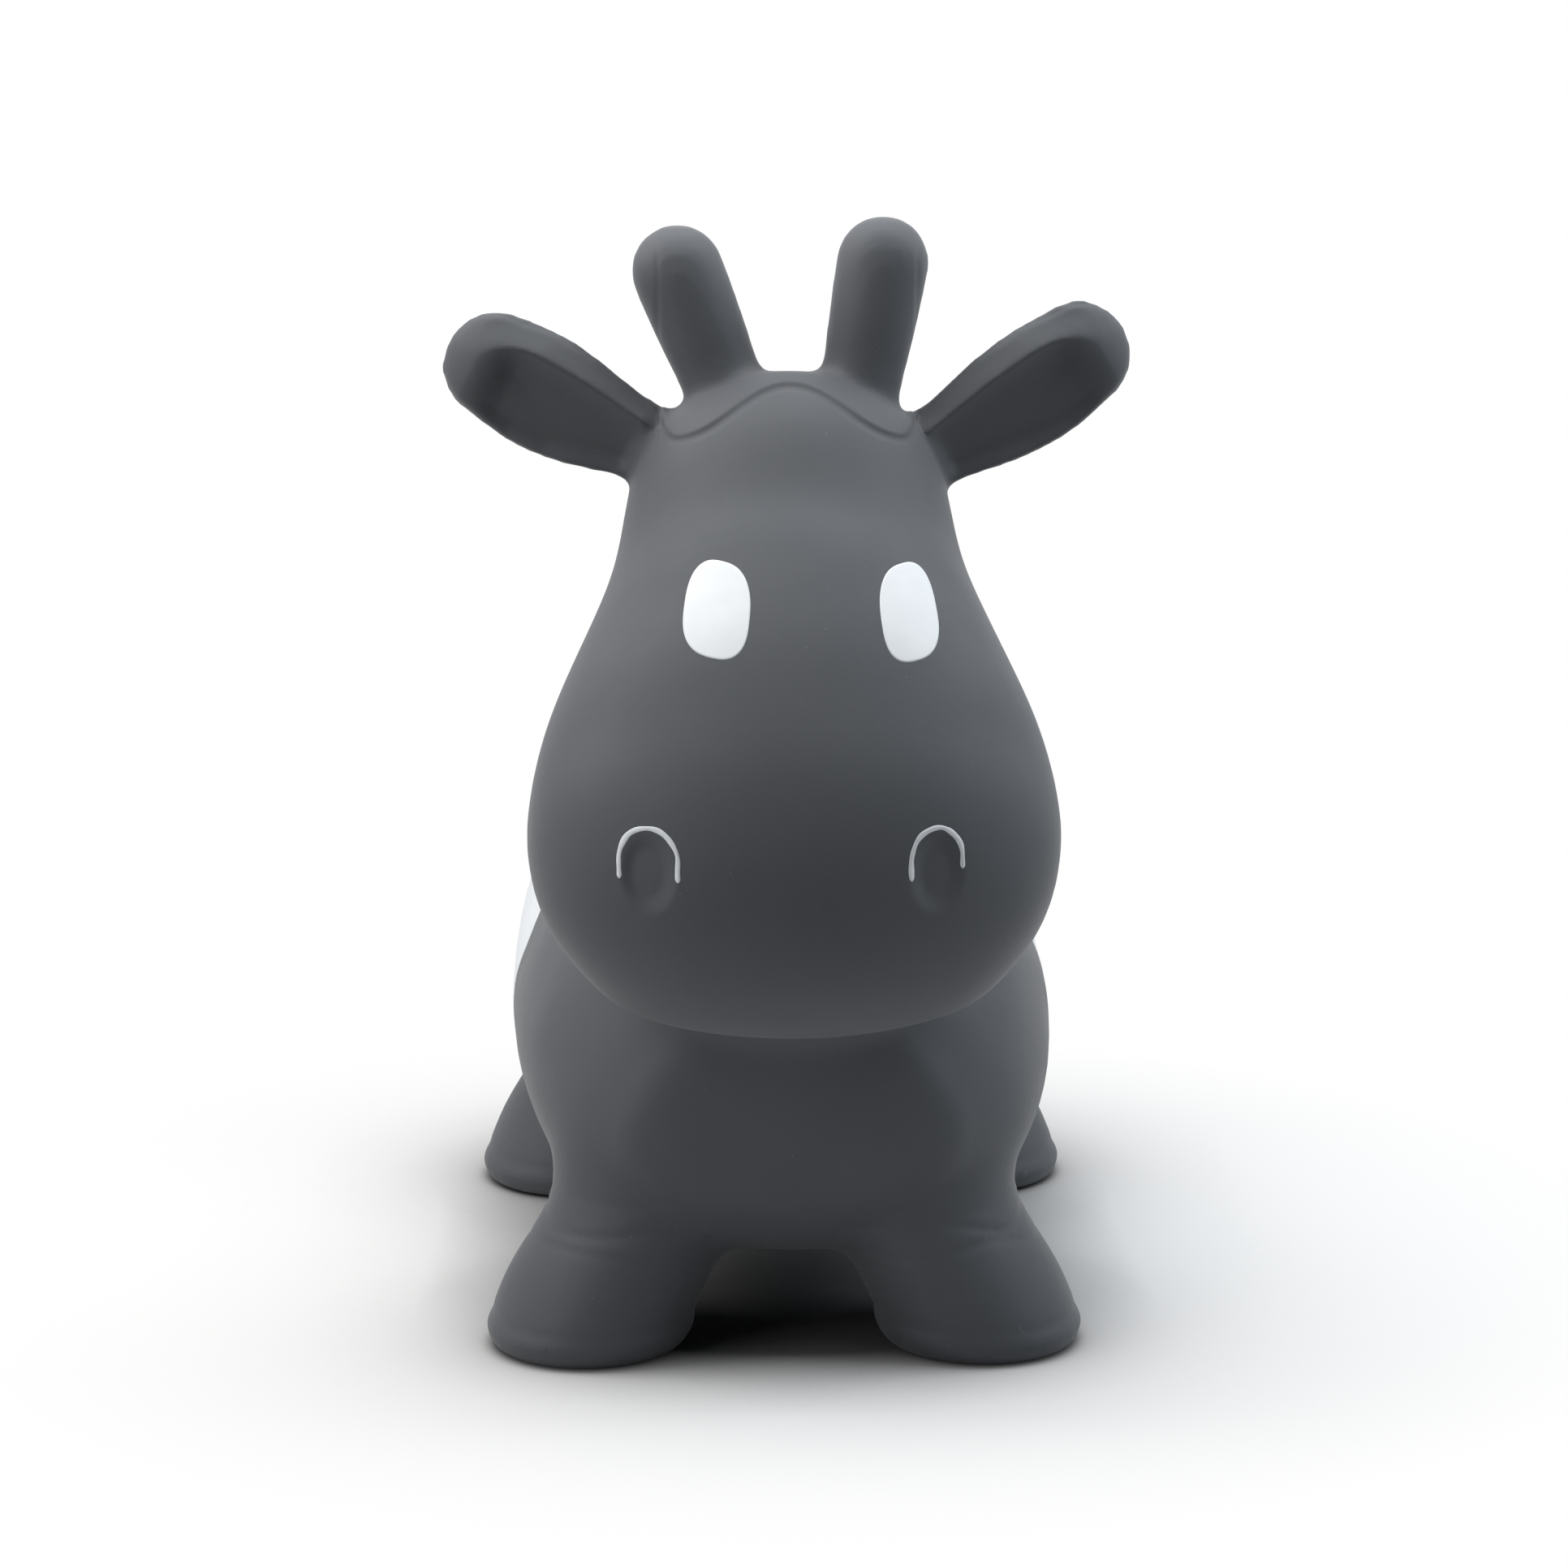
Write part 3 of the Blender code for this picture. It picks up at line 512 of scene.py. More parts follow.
def neck_stations():
    return [(between(NECK_FOOT, NECK_HEAD, share), NECK_WIDTH / 2, NECK_DEPTH / 2) for share in (0, 0.5, 1)]


def head_stations():
    stations = []
    for forward, down, width, depth in HEAD_SHARES:
        centre = Vector((0, between(CROWN_Y, CHIN_Y, forward), between(CROWN_Z, CHIN_Z, down)))
        stations.append((centre, HEAD_WIDTH / 2 * width, HEAD_DEPTH / 2 * depth))
    return stations


def leg_stations(x_sign, foot_y, track, offset):
    stations = []
    for up, lean, width, length in LEG_SHARES:
        x = offset + x_sign * (track / 2 - LEG_LEAN * lean)
        centre = Vector((x, foot_y + TOE_REACH * lean, LEG_HEIGHT * up))
        stations.append((centre, FOOT_WIDTH / 2 * width, FOOT_LENGTH / 2 * length))
    return stations


def horn_ends(x_sign, side_name):
    root = Vector((x_sign * HORN_ROOT_X[side_name], CROWN_Y - HORN_ROOT_BACK, CROWN_Z + HORN_ROOT_RISE))
    tip = root + Vector((x_sign * HORN_SPREAD[side_name], HORN_LEAN_BACK, HORN_LENGTH[side_name]))
    return root, tip


def horn_stations(x_sign, side_name):
    root, tip = horn_ends(x_sign, side_name)
    sunk = root - (tip - root).normalized() * HORN_SINK
    stations = [(sunk, HORN_ROOT_RADIUS, HORN_ROOT_RADIUS)]
    for along, swell in HORN_SHARES:
        radius = between(HORN_ROOT_RADIUS, HORN_TIP_RADIUS, swell)
        stations.append((between(root, tip, along), radius, radius))
    return stations


def ear_ends(x_sign, side_name):
    root_x = HEAD_WIDTH / 2 * EAR_ROOT_OUT_SHARE
    root = Vector((x_sign * root_x, CROWN_Y - EAR_ROOT_BACK, CROWN_Z - EAR_ROOT_DROP[side_name]))
    tip = root + Vector((x_sign * EAR_SPREAD[side_name], EAR_SWEEP_BACK, EAR_RISE[side_name]))
    return root, tip


def ear_stations(x_sign, side_name):
    root, tip = ear_ends(x_sign, side_name)
    sunk = root - (tip - root).normalized() * EAR_SINK
    shares = EAR_SHARES[0]
    stations = [(sunk, EAR_WIDTH / 2 * shares[1], EAR_THICKNESS / 2 * shares[2])]
    for along, width, thickness in EAR_SHARES:
        centre = between(root, tip, along) - Z_AXIS * EAR_SAG * math.sin(math.pi * along)
        stations.append((centre, EAR_WIDTH / 2 * width, EAR_THICKNESS / 2 * thickness))
    return stations


def tail_stations(tree):
    """The tail follows the rump, and stands out from it by its relief."""
    stations = []
    radius = TAIL_WIDTH / 2
    for share in (0, 0.25, 0.5, 0.75, 1):
        height = TAIL_TOP_Z - TAIL_LENGTH * share
        place, normal, _, _ = tree.ray_cast(Vector((0, REACH, height)), -Y_AXIS)
        stations.append((place + normal * (TAIL_RELIEF - radius), radius, radius))
    return stations


def new_object(name, data):
    obj = bpy.data.objects.new(name, data)
    bpy.context.scene.collection.objects.link(obj)
    return obj


def mesh_from(shape, name):
    """A mesh of a finished bmesh, its faces turned outwards."""
    bmesh.ops.recalc_face_normals(shape, faces=shape.faces)
    mesh = bpy.data.meshes.new(name)
    shape.to_mesh(mesh)
    shape.free()
    return mesh


def fused(mesh, smoothing):
    """The union of the mesh's closed shapes, as one even mesh with its creases rounded."""
    obj = new_object(mesh.name, mesh)
    union = obj.modifiers.new("Union", "REMESH")
    union.mode = "VOXEL"
    union.voxel_size = VOXEL
    rounding = obj.modifiers.new("Rounding", "SMOOTH")
    rounding.factor = 0.5
    rounding.iterations = smoothing
    graph = bpy.context.evaluated_depsgraph_get()
    result = bpy.data.meshes.new_from_object(obj.evaluated_get(graph))
    bpy.data.objects.remove(obj)
    return result


def skin_form():
    """The whole outside of the skin, without its fine relief and with its soles still rounded."""
    shape = bmesh.new()
    add_limb(shape, torso_stations(), X_AXIS, (CHEST_CAP, RUMP_CAP), Y_AXIS, TORSO_DROOP_SHARE)
    add_limb(shape, neck_stations(), X_AXIS, (NECK_CAP, NECK_CAP))
    add_limb(shape, head_stations(), X_AXIS, (CROWN_CAP, CHIN_CAP), end_turn=CHIN_TURN)
    for _, foot_y, track, offset in LEGS:
        for _, x_sign in SIDES:
            across = Matrix.Rotation(math.radians(TOE_OUT_DEG) * x_sign, 3, "Z") @ X_AXIS
            stations = leg_stations(x_sign, foot_y, track, offset)
            add_limb(shape, stations, across, (FOOT_CAP, FOOT_CAP), Z_AXIS)
    body = fused(mesh_from(shape, "body_form"), BODY_SMOOTHING)
    shape = bmesh.new()
    shape.from_mesh(body)
    tree = BVHTree.FromBMesh(shape)
    ear_side = Matrix.Rotation(math.radians(EAR_TURN_DEG), 3, "X") @ Z_AXIS
    for side_name, x_sign in SIDES:
        add_limb(shape, horn_stations(x_sign, side_name), X_AXIS, (0, HORN_TIP_RADIUS))
        add_limb(shape, ear_stations(x_sign, side_name), ear_side, (0, EAR_CAP))
    add_limb(shape, tail_stations(tree), X_AXIS, (TAIL_WIDTH / 2, TAIL_WIDTH / 2))
    return fused(mesh_from(shape, "skin_form"), SKIN_SMOOTHING)


def points_of(shape):
    """The places and the normals of a bmesh's vertices, as arrays."""
    shape.normal_update()
    places = np.array([vertex.co for vertex in shape.verts])
    normals = np.array([vertex.normal for vertex in shape.verts])
    return places, normals


def place_points(shape, places):
    for vertex, place in zip(shape.verts, places):
        vertex.co = place


def picked(shape, wanted):
    """The faces whose middles are wanted, and their edges."""
    faces = [face for face in shape.faces if wanted(face.calc_center_median())]
    return faces, list({edge for face in faces for edge in face.edges})


def refine(shape, wanted, cuts, smoothing):
    """Splits the wanted faces, so that fine relief has points to move."""
    _, edges = picked(shape, wanted)
    bmesh.ops.subdivide_edges(shape, edges=edges, cuts=cuts, use_grid_fill=True)
    inside = [vertex for vertex in shape.verts if wanted(vertex.co)]
    for _ in range(smoothing):
        bmesh.ops.smooth_vert(
            shape, verts=inside, factor=0.5, use_axis_x=True, use_axis_y=True, use_axis_z=True
        )


def view_back():
    """The way from the cow to the camera."""
    yaw = math.radians(VIEW_YAW_DEG)
    rise = math.radians(VIEW_ELEVATION_DEG)
    return Vector((-math.sin(yaw) * math.cos(rise), -math.cos(yaw) * math.cos(rise), math.sin(rise)))


def sight_height(place):
    """A height square to the line of sight, which a sloping forehead shows as the photograph does."""
    rise = math.radians(VIEW_ELEVATION_DEG)
    return place[..., 2] * math.cos(rise) + place[..., 1] * math.sin(rise)


def forelock_line(x):
    """The height of the forelock's edge: a peak in the middle, a lobe on each side, then up again."""
    x = np.abs(x)
    wave = (1 - np.cos(math.pi * np.clip(x / FORELOCK_LOBE_X, 0, 1))) / 2
    over = np.clip((x - FORELOCK_LOBE_X) / (FORELOCK_END_X - FORELOCK_LOBE_X), 0, 1)
    return FORELOCK_PEAK - FORELOCK_DIP * wave + FORELOCK_END_RISE * (1 - np.sqrt(1 - over**2))


def forelock(places, normals):
    """How far each point is raised for the forelock."""
    x, height = places[:, 0], sight_height(places)
    slope = (forelock_line(x + SLOPE_STEP) - forelock_line(x - SLOPE_STEP)) / (2 * SLOPE_STEP)
    above = height - forelock_line(x)
    from_edge = np.minimum(above / np.sqrt(1 + slope**2), FORELOCK_END_X - np.abs(x))
    fade = 1 - eased(above / FORELOCK_FADE)
    facing = eased((normals @ np.array(view_back()) - FORELOCK_FACING_LOW) / FORELOCK_FACING_SPAN)
    groove = FORELOCK_GROOVE * bump((from_edge + FORELOCK_EDGE / 2) / FORELOCK_EDGE)
    return (FORELOCK_RELIEF * eased(from_edge / FORELOCK_EDGE) * fade - groove) * facing


def near_forelock(place):
    x = abs(place.x)
    if x > FORELOCK_END_X + 2 * FORELOCK_EDGE or place.y > CROWN_Y or place.z < CHIN_Z:
        return False
    height = float(sight_height(np.array(place)))
    low = FORELOCK_PEAK - FORELOCK_DIP - 2 * FORELOCK_EDGE
    return low < height < FORELOCK_PEAK + 2 * FORELOCK_EDGE


def near_nostril(place):
    if place.y > CHIN_Y:
        return False
    for side_name, _ in SIDES:
        across = (place.x - NOSTRIL_X[side_name]) / NOSTRIL_WIDTH
        up = (place.z - NOSTRIL_Z + NOSTRIL_DROP) / NOSTRIL_HEIGHT
        if across**2 + up**2 < NOSTRIL_FINE_SHARE:
            return True
    return False


def nostrils(places):
    """How far each point is pushed back for the nostrils: steep at the top, soft at the bottom."""
    push = np.zeros(len(places))
    muzzle = places[:, 1] < CHIN_Y
    for side_name, _ in SIDES:
        across = (places[:, 0] - NOSTRIL_X[side_name]) / (NOSTRIL_WIDTH / 2)
        up = (places[:, 2] - NOSTRIL_Z + NOSTRIL_DROP) / (NOSTRIL_HEIGHT / 2)
        inside = 1 - np.sqrt(across**2 + up**2)
        push += NOSTRIL_DEPTH * eased(inside / NOSTRIL_EDGE_SHARE) * muzzle
    return push


def ear_fronts(places):
    """How far each point is pushed back for the roll and the hollow in the front of its ear."""
    push = np.zeros(len(places))
    widths = np.array(EAR_SHARES)
    for side_name, x_sign in SIDES:
        root, tip = ear_ends(x_sign, side_name)
        length = (tip - root).length
        along = (tip - root).normalized()
        up = Vector((-along.z * x_sign, 0, along.x * x_sign)).normalized()
        away = places - np.array(root)
        u, v = away @ np.array(along), away @ np.array(up)
        half = EAR_WIDTH / 2 * np.interp(u / length, widths[:, 0], widths[:, 1])
        past = np.clip((u - length) / EAR_CAP, 0, 1)
        inset = half * np.sqrt(1 - past**2) - np.abs(v)
        forward = root.y + u * along.y - v * math.tan(math.radians(EAR_TURN_DEG)) - places[:, 1]
        end = length * EAR_HOLLOW_END_SHARE - u
        under = EAR_HOLLOW_CORNER - (half * EAR_ROLL_SHARE - v)
        short = EAR_HOLLOW_CORNER - end * EAR_HOLLOW_END_SLANT
        inside = EAR_HOLLOW_CORNER - np.hypot(np.maximum(under, 0), np.maximum(short, 0))
        inside -= np.minimum(np.maximum(under, short), 0)
        over = np.clip(-inside / EAR_ROLL_WIDTH, 0, 1)
        roll = EAR_ROLL_RELIEF * eased(1 - over) - EAR_ROLL_BEVEL * np.sin(math.pi * over)
        hollow = EAR_HOLLOW_DEPTH * (1 - np.exp(-np.maximum(inside, 0) / EAR_HOLLOW_SOFTNESS))
        hollow *= eased((inset + EAR_RIM_HALF) / EAR_ROLL_WIDTH) * eased(end / EAR_HOLLOW_FADE)
        rim = EAR_RIM_DEPTH * bump((inset - EAR_RIM_INSET) / EAR_RIM_HALF) * (v > 0)
        front = eased(forward / EAR_FRONT_FADE) * eased((EAR_THICKNESS - forward) / EAR_BACK_FADE)
        out = eased((u + EAR_ROOT_FADE) / (2 * EAR_ROOT_FADE)) * (np.abs(v) < EAR_WIDTH)
        push += (hollow - roll + rim) * front * out
    return push


def near_limb(place):
    """Whether a point is on an ear or a horn."""
    return any(beyond(place, root, along, 0, girth) for _, root, along, _, girth in limb_seams())


def swelling(places):
    """A slow unevenness of the pumped skin, from three crossing waves."""
    total = np.zeros(len(places))
    for turn, length in enumerate(SWELL_LENGTHS, 1):
        waves = np.sin(2 * math.pi * places / length + turn)
        total += waves[:, 0] * waves[:, 1] + waves[:, 1] * waves[:, 2]
    return SWELL * total / len(SWELL_LENGTHS)


def foot_relief(places, normals):
    """The lip round each sole, the notch over it and the creases over the ankle."""
    z = places[:, 2]
    upright = eased((1 - np.abs(normals[:, 2])) * SIDE_GAIN)
    relief = LIP_RELIEF * bump((z - LIP_HEIGHT) / LIP_HALF)
    relief -= NOTCH_DEPTH * bump((z - NOTCH_HEIGHT) / NOTCH_HALF)
    relief *= upright * between(LIP_FRONT_SHARE, 1, eased(np.abs(normals[:, 0]) * FRONT_GAIN))
    front = eased(-normals[:, 1] * FRONT_GAIN)
    outer = eased(np.abs(normals[:, 0]) * OUTER_GAIN)
    on_front_leg = places[:, 1] < (FRONT_FOOT_Y + REAR_FOOT_Y) / 2
    reach = np.where(on_front_leg, np.maximum(front, outer * CREASE_OUTER_SHARE), outer)
    for i, (height, half, depth) in enumerate(CREASES):
        wander = half * np.sin((places[:, 0] + places[:, 1]) * CREASE_WANDER + i * 2)
        relief -= depth * bump((z - height - wander) / half) * reach * upright
    return relief


def rounded_soles(places):
    """The soles with their lower edges rounded: each is drawn in towards its middle near the floor."""
    drawn = places.copy()
    for _, foot_y, track, offset in LEGS:
        for _, x_sign in SIDES:
            middle = np.array((offset + x_sign * track / 2, foot_y))
            away = places[:, :2] - middle
            mine = (np.abs(away) < FOOT_LENGTH).all(axis=1)
            mine &= (places[:, 2] < SOLE_ROUNDING) & (places[:, 0] * x_sign > 0)
            share = 1 - places[mine, 2] / SOLE_ROUNDING
            keep = 1 - SOLE_INSET * (1 - np.sqrt(1 - share**2)) / (FOOT_WIDTH / 2)
            drawn[mine, :2] = middle + away[mine] * keep[:, None]
    return drawn


def neck_seam():
    """The middle of the neck's band and the way through it."""
    way = (NECK_HEAD - NECK_FOOT).normalized()
    return between(NECK_FOOT, NECK_HEAD, NECK_BAND_SHARE), way


def ankle_way(x_sign):
    """The way square to the tilted planes of one side's ankles."""
    tilt = math.radians(ANKLE_TILT_DEG)
    return Vector((-x_sign * math.sin(tilt), 0, math.cos(tilt)))


def cut_along(shape, wanted, point, direction):
    """Adds edges where a plane crosses the wanted faces."""
    faces, edges = picked(shape, wanted)
    verts = list({vertex for face in faces for vertex in face.verts})
    bmesh.ops.bisect_plane(shape, geom=verts + edges + faces, plane_co=point, plane_no=direction)


def flatten_soles(shape):
    """Cuts the soles off flat at the floor, and adds the edges that their relief needs."""
    for height in (0, *LIP_LOOPS):
        cut_along(shape, lambda middle: middle.z < NOTCH_HEIGHT + 2 * NOTCH_HALF, Z_AXIS * height, Z_AXIS)
    for vertex in shape.verts:
        vertex.co.z = max(vertex.co.z, 0)


def valve_hole(shape, radius):
    """Opens a round hole in the belly for the valve."""

    def is_hit(vertex):
        place = vertex.co
        return place.z < SEAT_HEIGHT / 2 and math.hypot(place.x, place.y - VALVE_Y) < radius + VOXEL

    doomed = [face for face in shape.faces if any(is_hit(vertex) for vertex in face.verts)]
    height = sum(face.calc_center_median().z for face in doomed) / len(doomed)
    bmesh.ops.delete(shape, geom=doomed, context="FACES")
    rim = [edge for edge in shape.edges if edge.is_boundary]
    ring = []
    for angle in turns(TURNED_STEPS):
        place = (radius * math.cos(angle), VALVE_Y + radius * math.sin(angle), height)
        ring.append(shape.verts.new(place))
    circle = [shape.edges.new(ends) for ends in zip(ring, ring[1:] + ring[:1])]
    bmesh.ops.bridge_loops(shape, edges=rim + circle)


def limb_seams():
    """Each ear and horn: its node, its root, the way to its tip, where it bends, and its girth."""
    seams = []
    for side_name, x_sign in SIDES:
        for kind, (root, tip), bend, girth in (
            ("ear", ear_ends(x_sign, side_name), EAR_BEND, EAR_GIRTH),
            ("horn", horn_ends(x_sign, side_name), HORN_BEND, HORN_GIRTH),
        ):
            seams.append((f"{kind}_{side_name}", root, (tip - root).normalized(), bend, girth))
    return seams


def beyond(place, root, along, start, girth):
    """Whether a point lies out along a limb, past a plane across it and within its girth."""
    away = place - root
    reach = away.dot(along)
    return reach > start and (away - along * reach).length < girth


def mark_pieces(shape):
    """Cuts the skin where its pieces meet and gives each face the number of its piece."""
    layer = shape.faces.layers.int.new("piece")
    names = ["torso"]

    def mark(name, wanted):
        names.append(name)
        for face in picked(shape, wanted)[0]:
            face[layer] = len(names) - 1

    middle, way = neck_seam()
    for end in (-NECK_BAND / 2, NECK_BAND / 2):
        cut_along(shape, lambda place: place.z > BELLY_HEIGHT * 2, middle + way * end, way)
    mark("neck", lambda place: abs((place - middle).dot(way)) < NECK_BAND / 2)
    mark("head", lambda place: (place - middle).dot(way) > NECK_BAND / 2)
    for name, root, along, (start, _), girth in limb_seams():
        cut_along(shape, lambda place: beyond(place, root, along, 0, girth), root + along * start, along)
        mark(name, lambda place: beyond(place, root, along, start, girth))
    middle_y = (FRONT_FOOT_Y + REAR_FOOT_Y) / 2
    for side_name, x_sign in SIDES:
        way = ankle_way(x_sign)

        def on_side(place):
            return place.x * x_sign > 0 and place.z < LEG_HEIGHT

        cut_along(shape, on_side, way * ANKLE_HIGH, way)
        for leg_name, end in (("front", -1), ("rear", 1)):
            mark(
                f"leg_{leg_name}_{side_name}",
                lambda place: on_side(place)
                and place.dot(way) < ANKLE_HIGH
                and (place.y - middle_y) * end > 0,
            )
    return names


def shell_piece(name, faces, places, normals):
    """A piece of the skin with its wall: the outside, the inside, and a rim where it is open."""
    used = sorted({vertex.index for face in faces for vertex in face.verts})
    index = {old: new for new, old in enumerate(used)}
    outside = places[used]
    way = normals[used]
    count = len(used)
    corners = [[index[vertex.index] for vertex in face.verts] for face in faces]
    inner = [[count + i for i in reversed(corner)] for corner in corners]
    edges = {}
    for corner in corners:
        for a, b in zip(corner, corner[1:] + corner[:1]):
            edges[(a, b)] = edges.get((a, b), 0) + 1
    rim = [(b, a, count + a, count + b) for a, b in edges if (b, a) not in edges]
    mesh = bpy.data.meshes.new(name)
    mesh.from_pydata(np.vstack([outside, outside - way * WALL]), [], corners + inner + rim)
    smooth = np.arange(len(mesh.polygons)) < len(corners) + len(inner)
    mesh.polygons.foreach_set("use_smooth", smooth)
    corner_normals = [way[i] for corner in corners for i in corner]
    corner_normals += [-way[i - count] for corner in inner for i in corner]
    corner_normals += [(0, 0, 0)] * (4 * len(rim))
    mesh.normals_split_custom_set(corner_normals)
    return new_object(name, mesh)


def make_skin():
    """The finished skin: its pieces by name, and a tree that finds its surface."""
    shape = bmesh.new()
    shape.from_mesh(skin_form())
    refine(shape, near_forelock, 2, RELIEF_SMOOTHING)
    refine(shape, near_nostril, 1, RELIEF_SMOOTHING)
    refine(shape, near_limb, 1, LIMB_SMOOTHING)
    flatten_soles(shape)
    places, normals = points_of(shape)
    places += normals * (swelling(places) * eased(places[:, 2] / SWELL_FADE))[:, None]
    places += normals * forelock(places, normals)[:, None]
    places += normals * (1, 1, 0) * foot_relief(places, normals)[:, None]
    places[:, 1] += nostrils(places) + ear_fronts(places)
    place_points(shape, rounded_soles(places))
    valve_hole(shape, SLEEVE_RADIUS + VALVE_CLEARANCE)
    names = mark_pieces(shape)
    shape.verts.index_update()
    places, normals = points_of(shape)
    tree = BVHTree.FromBMesh(shape)
    layer = shape.faces.layers.int["piece"]
    groups = [[] for _ in names]
    for face in shape.faces:
        groups[face[layer]].append(face)
    pieces = {
        name: shell_piece(f"skin_{name}", faces, places, normals) for name, faces in zip(names, groups)
    }
    shape.free()
    return pieces, tree


def boxy(width, height, angle, share):
    """A point on an outline between an ellipse and a box."""
    return (
        size / 2 * math.copysign(abs(value) ** share, value)
        for size, value in ((width, math.cos(angle)), (height, math.sin(angle)))
    )


def rounded_oval(width, height, tilt):
    """A closed boxy oval, a little narrower at the top."""
    points = []
    for angle in turns(OUTLINE_POINTS):
        x, y = boxy(width, height, angle, EYE_ROUNDNESS_SHARE)
        x *= 1 - EYE_TAPER_SHARE * math.sin(angle)
        points.append((x * math.cos(tilt) - y * math.sin(tilt), x * math.sin(tilt) + y * math.cos(tilt)))
    return points


def patch_outline(x_sign):
    """An uneven slanted blob, with a notch in the edge that is nearer to the head."""
    points = []
    for angle in turns(OUTLINE_POINTS):
        facing = math.pi - angle if x_sign > 0 else angle
        turn = math.remainder(facing - math.radians(PATCH_NOTCH_DEG), 2 * math.pi)
        reach = 1 - PATCH_NOTCH_SHARE * float(bump(turn / math.radians(PATCH_NOTCH_HALF_DEG)))
        for lobes, share, place in PATCH_WAVES:
            reach += share * math.cos(lobes * (facing - math.radians(place)))
        along, up = boxy(PATCH_LENGTH * reach, PATCH_HEIGHT * reach, angle, PATCH_BOX_SHARE)
        points.append((along + x_sign * PATCH_SLANT * up, up))
    return points


def on_skin(place, outward):
    """The skin under a point and the skin's normal there."""
    hit, normal, _, _ = skin_tree.ray_cast(place + outward * REACH, -outward)
    return hit, normal


def film(name, outline, origin, across, up):
    """A closed film of paint: rings of its outline drawn in to the middle and laid on the skin."""
    outward = across.cross(up)
    shape = bmesh.new()

    def laid(point, share, lift):
        u, v = point
        hit, normal = on_skin(origin + across * u * share + up * v * share, outward)
        return shape.verts.new(hit + normal * lift)

    edge = [laid(point, 1, 0) for point in outline]
    for lift in (PAINT, -PAINT_SUNK):
        rings = [edge]
        for i in range(1, FILM_RINGS):
            share = 1 - (i / FILM_RINGS) ** FILM_SPACING
            rings.append([laid(point, share, lift) for point in outline])
        for outer, inner in zip(rings, rings[1:]):
            join_rings(shape, outer, inner)
        middle = laid((0, 0), 0, lift)
        for i in range(len(outline)):
            shape.faces.new((rings[-1][i - 1], rings[-1][i], middle))
    return smooth_object(mesh_from(shape, name), name)


def smooth_object(mesh, name):
    mesh.shade_smooth()
    return new_object(name, mesh)


def arch_line(width, leg_shares):
    """The middle line of a painted arch: a leg, half an oval and the other leg."""
    points = []
    for i in range(STROKE_STEPS + 1):
        place = between(-leg_shares[0], math.pi + leg_shares[1], i / STROKE_STEPS)
        if place < 0:
            points.append((1, place))
        elif place > math.pi:
            points.append((-1, math.pi - place))
        else:
            points.append((math.cos(place), math.sin(place)))
    return [(width / 2 * x, ARCH_HEIGHT / 2 * z) for x, z in points]


def stroke(name, line, origin, phase):
    """A hand-painted stroke on the skin: a low rounded ridge of uneven width with round ends."""
    outward = -Y_AXIS
    shape = bmesh.new()
    profile = [(math.cos(angle), math.sin(angle)) for angle in np.linspace(0, math.pi, STROKE_SIDES)]
    profile += [(-0.5, -1), (0.5, -1)]
    rings = []
    last = len(line) - 1
    for i, (x, z) in enumerate(line):
        before, after = line[max(i - 1, 0)], line[min(i + 1, last)]
        along = Vector((after[0] - before[0], 0, after[1] - before[1])).normalized()
        side = along.cross(outward)
        step = i / last
        wobble = sum(share * math.sin(step * often + phase * turn) for often, share, turn in ARCH_WOBBLES)
        end = min(min(i, last - i) / (STROKE_STEPS * ARCH_END_SHARE), 1)
        width = ARCH_STROKE / 2 * (1 + ARCH_WOBBLE_SHARE * wobble) * math.sqrt(1 - (1 - end) ** 2)
        drift = side * ARCH_STROKE * ARCH_DRIFT_SHARE * math.sin(step * ARCH_DRIFT_TURNS + phase * 3)
        middle = origin + Vector((x, 0, z)) + drift
        ring = []
        for u, v in profile:
            hit, normal = on_skin(middle + side * u * max(width, ARCH_LEAST), outward)
            ring.append(shape.verts.new(hit + normal * (ARCH_RELIEF * v if v >= 0 else -PAINT_SUNK)))
        rings.append(ring)
    for first, second in zip(rings, rings[1:]):
        join_rings(shape, first, second)
    shape.faces.new(rings[0][::-1])
    shape.faces.new(rings[-1])
    return smooth_object(mesh_from(shape, name), name)


def turned(name, profile, place, closed):
    """A turned piece with softly rounded corners. Its profile runs down its outer side."""
    shape = bmesh.new()
    verts = [shape.verts.new((radius, 0, height)) for radius, height in profile]
    for first, second in zip(verts, verts[1:] + verts[:1] if closed else verts[1:]):
        shape.edges.new((first, second))
    mesh = bpy.data.meshes.new(name)
    shape.to_mesh(mesh)
    shape.free()
    obj = new_object(name, mesh)
    obj.location = place
    screw = obj.modifiers.new("Turn", "SCREW")
    screw.steps = TURNED_STEPS
    screw.render_steps = TURNED_STEPS
    screw.use_merge_vertices = True
    screw.merge_threshold = VALVE_CLEARANCE / 20
    bevel = obj.modifiers.new("Rounding", "BEVEL")
    bevel.width = VALVE_ROUNDING
    bevel.segments = 3
    bevel.limit_method = "ANGLE"
    bevel.angle_limit = math.radians(VALVE_CORNER_DEG)
    return obj


def set_inputs(tree, node, inputs):
    """Sets a node's inputs, each to a value or by a link to a socket."""
    for key, value in inputs.items():
        if isinstance(value, bpy.types.NodeSocket):
            tree.links.new(value, node.inputs[key])
        else:
            node.inputs[key].default_value = value


def new_node(tree, kind, inputs=None, **settings):
    node = tree.nodes.new(kind)
    for key, value in settings.items():
        setattr(node, key, value)
    set_inputs(tree, node, inputs or {})
    return node


def noise(tree, coordinates, scale, detail, roughness=0.5):
    inputs = {"Vector": coordinates, "Scale": scale, "Detail": detail, "Roughness": roughness}
    return new_node(tree, "ShaderNodeTexNoise", inputs).outputs["Fac"]


def remapped(tree, value, low, high, to_low, to_high):
    inputs = {"Value": value, "From Min": low, "From Max": high, "To Min": to_low, "To Max": to_high}
    return new_node(tree, "ShaderNodeMapRange", inputs).outputs["Result"]


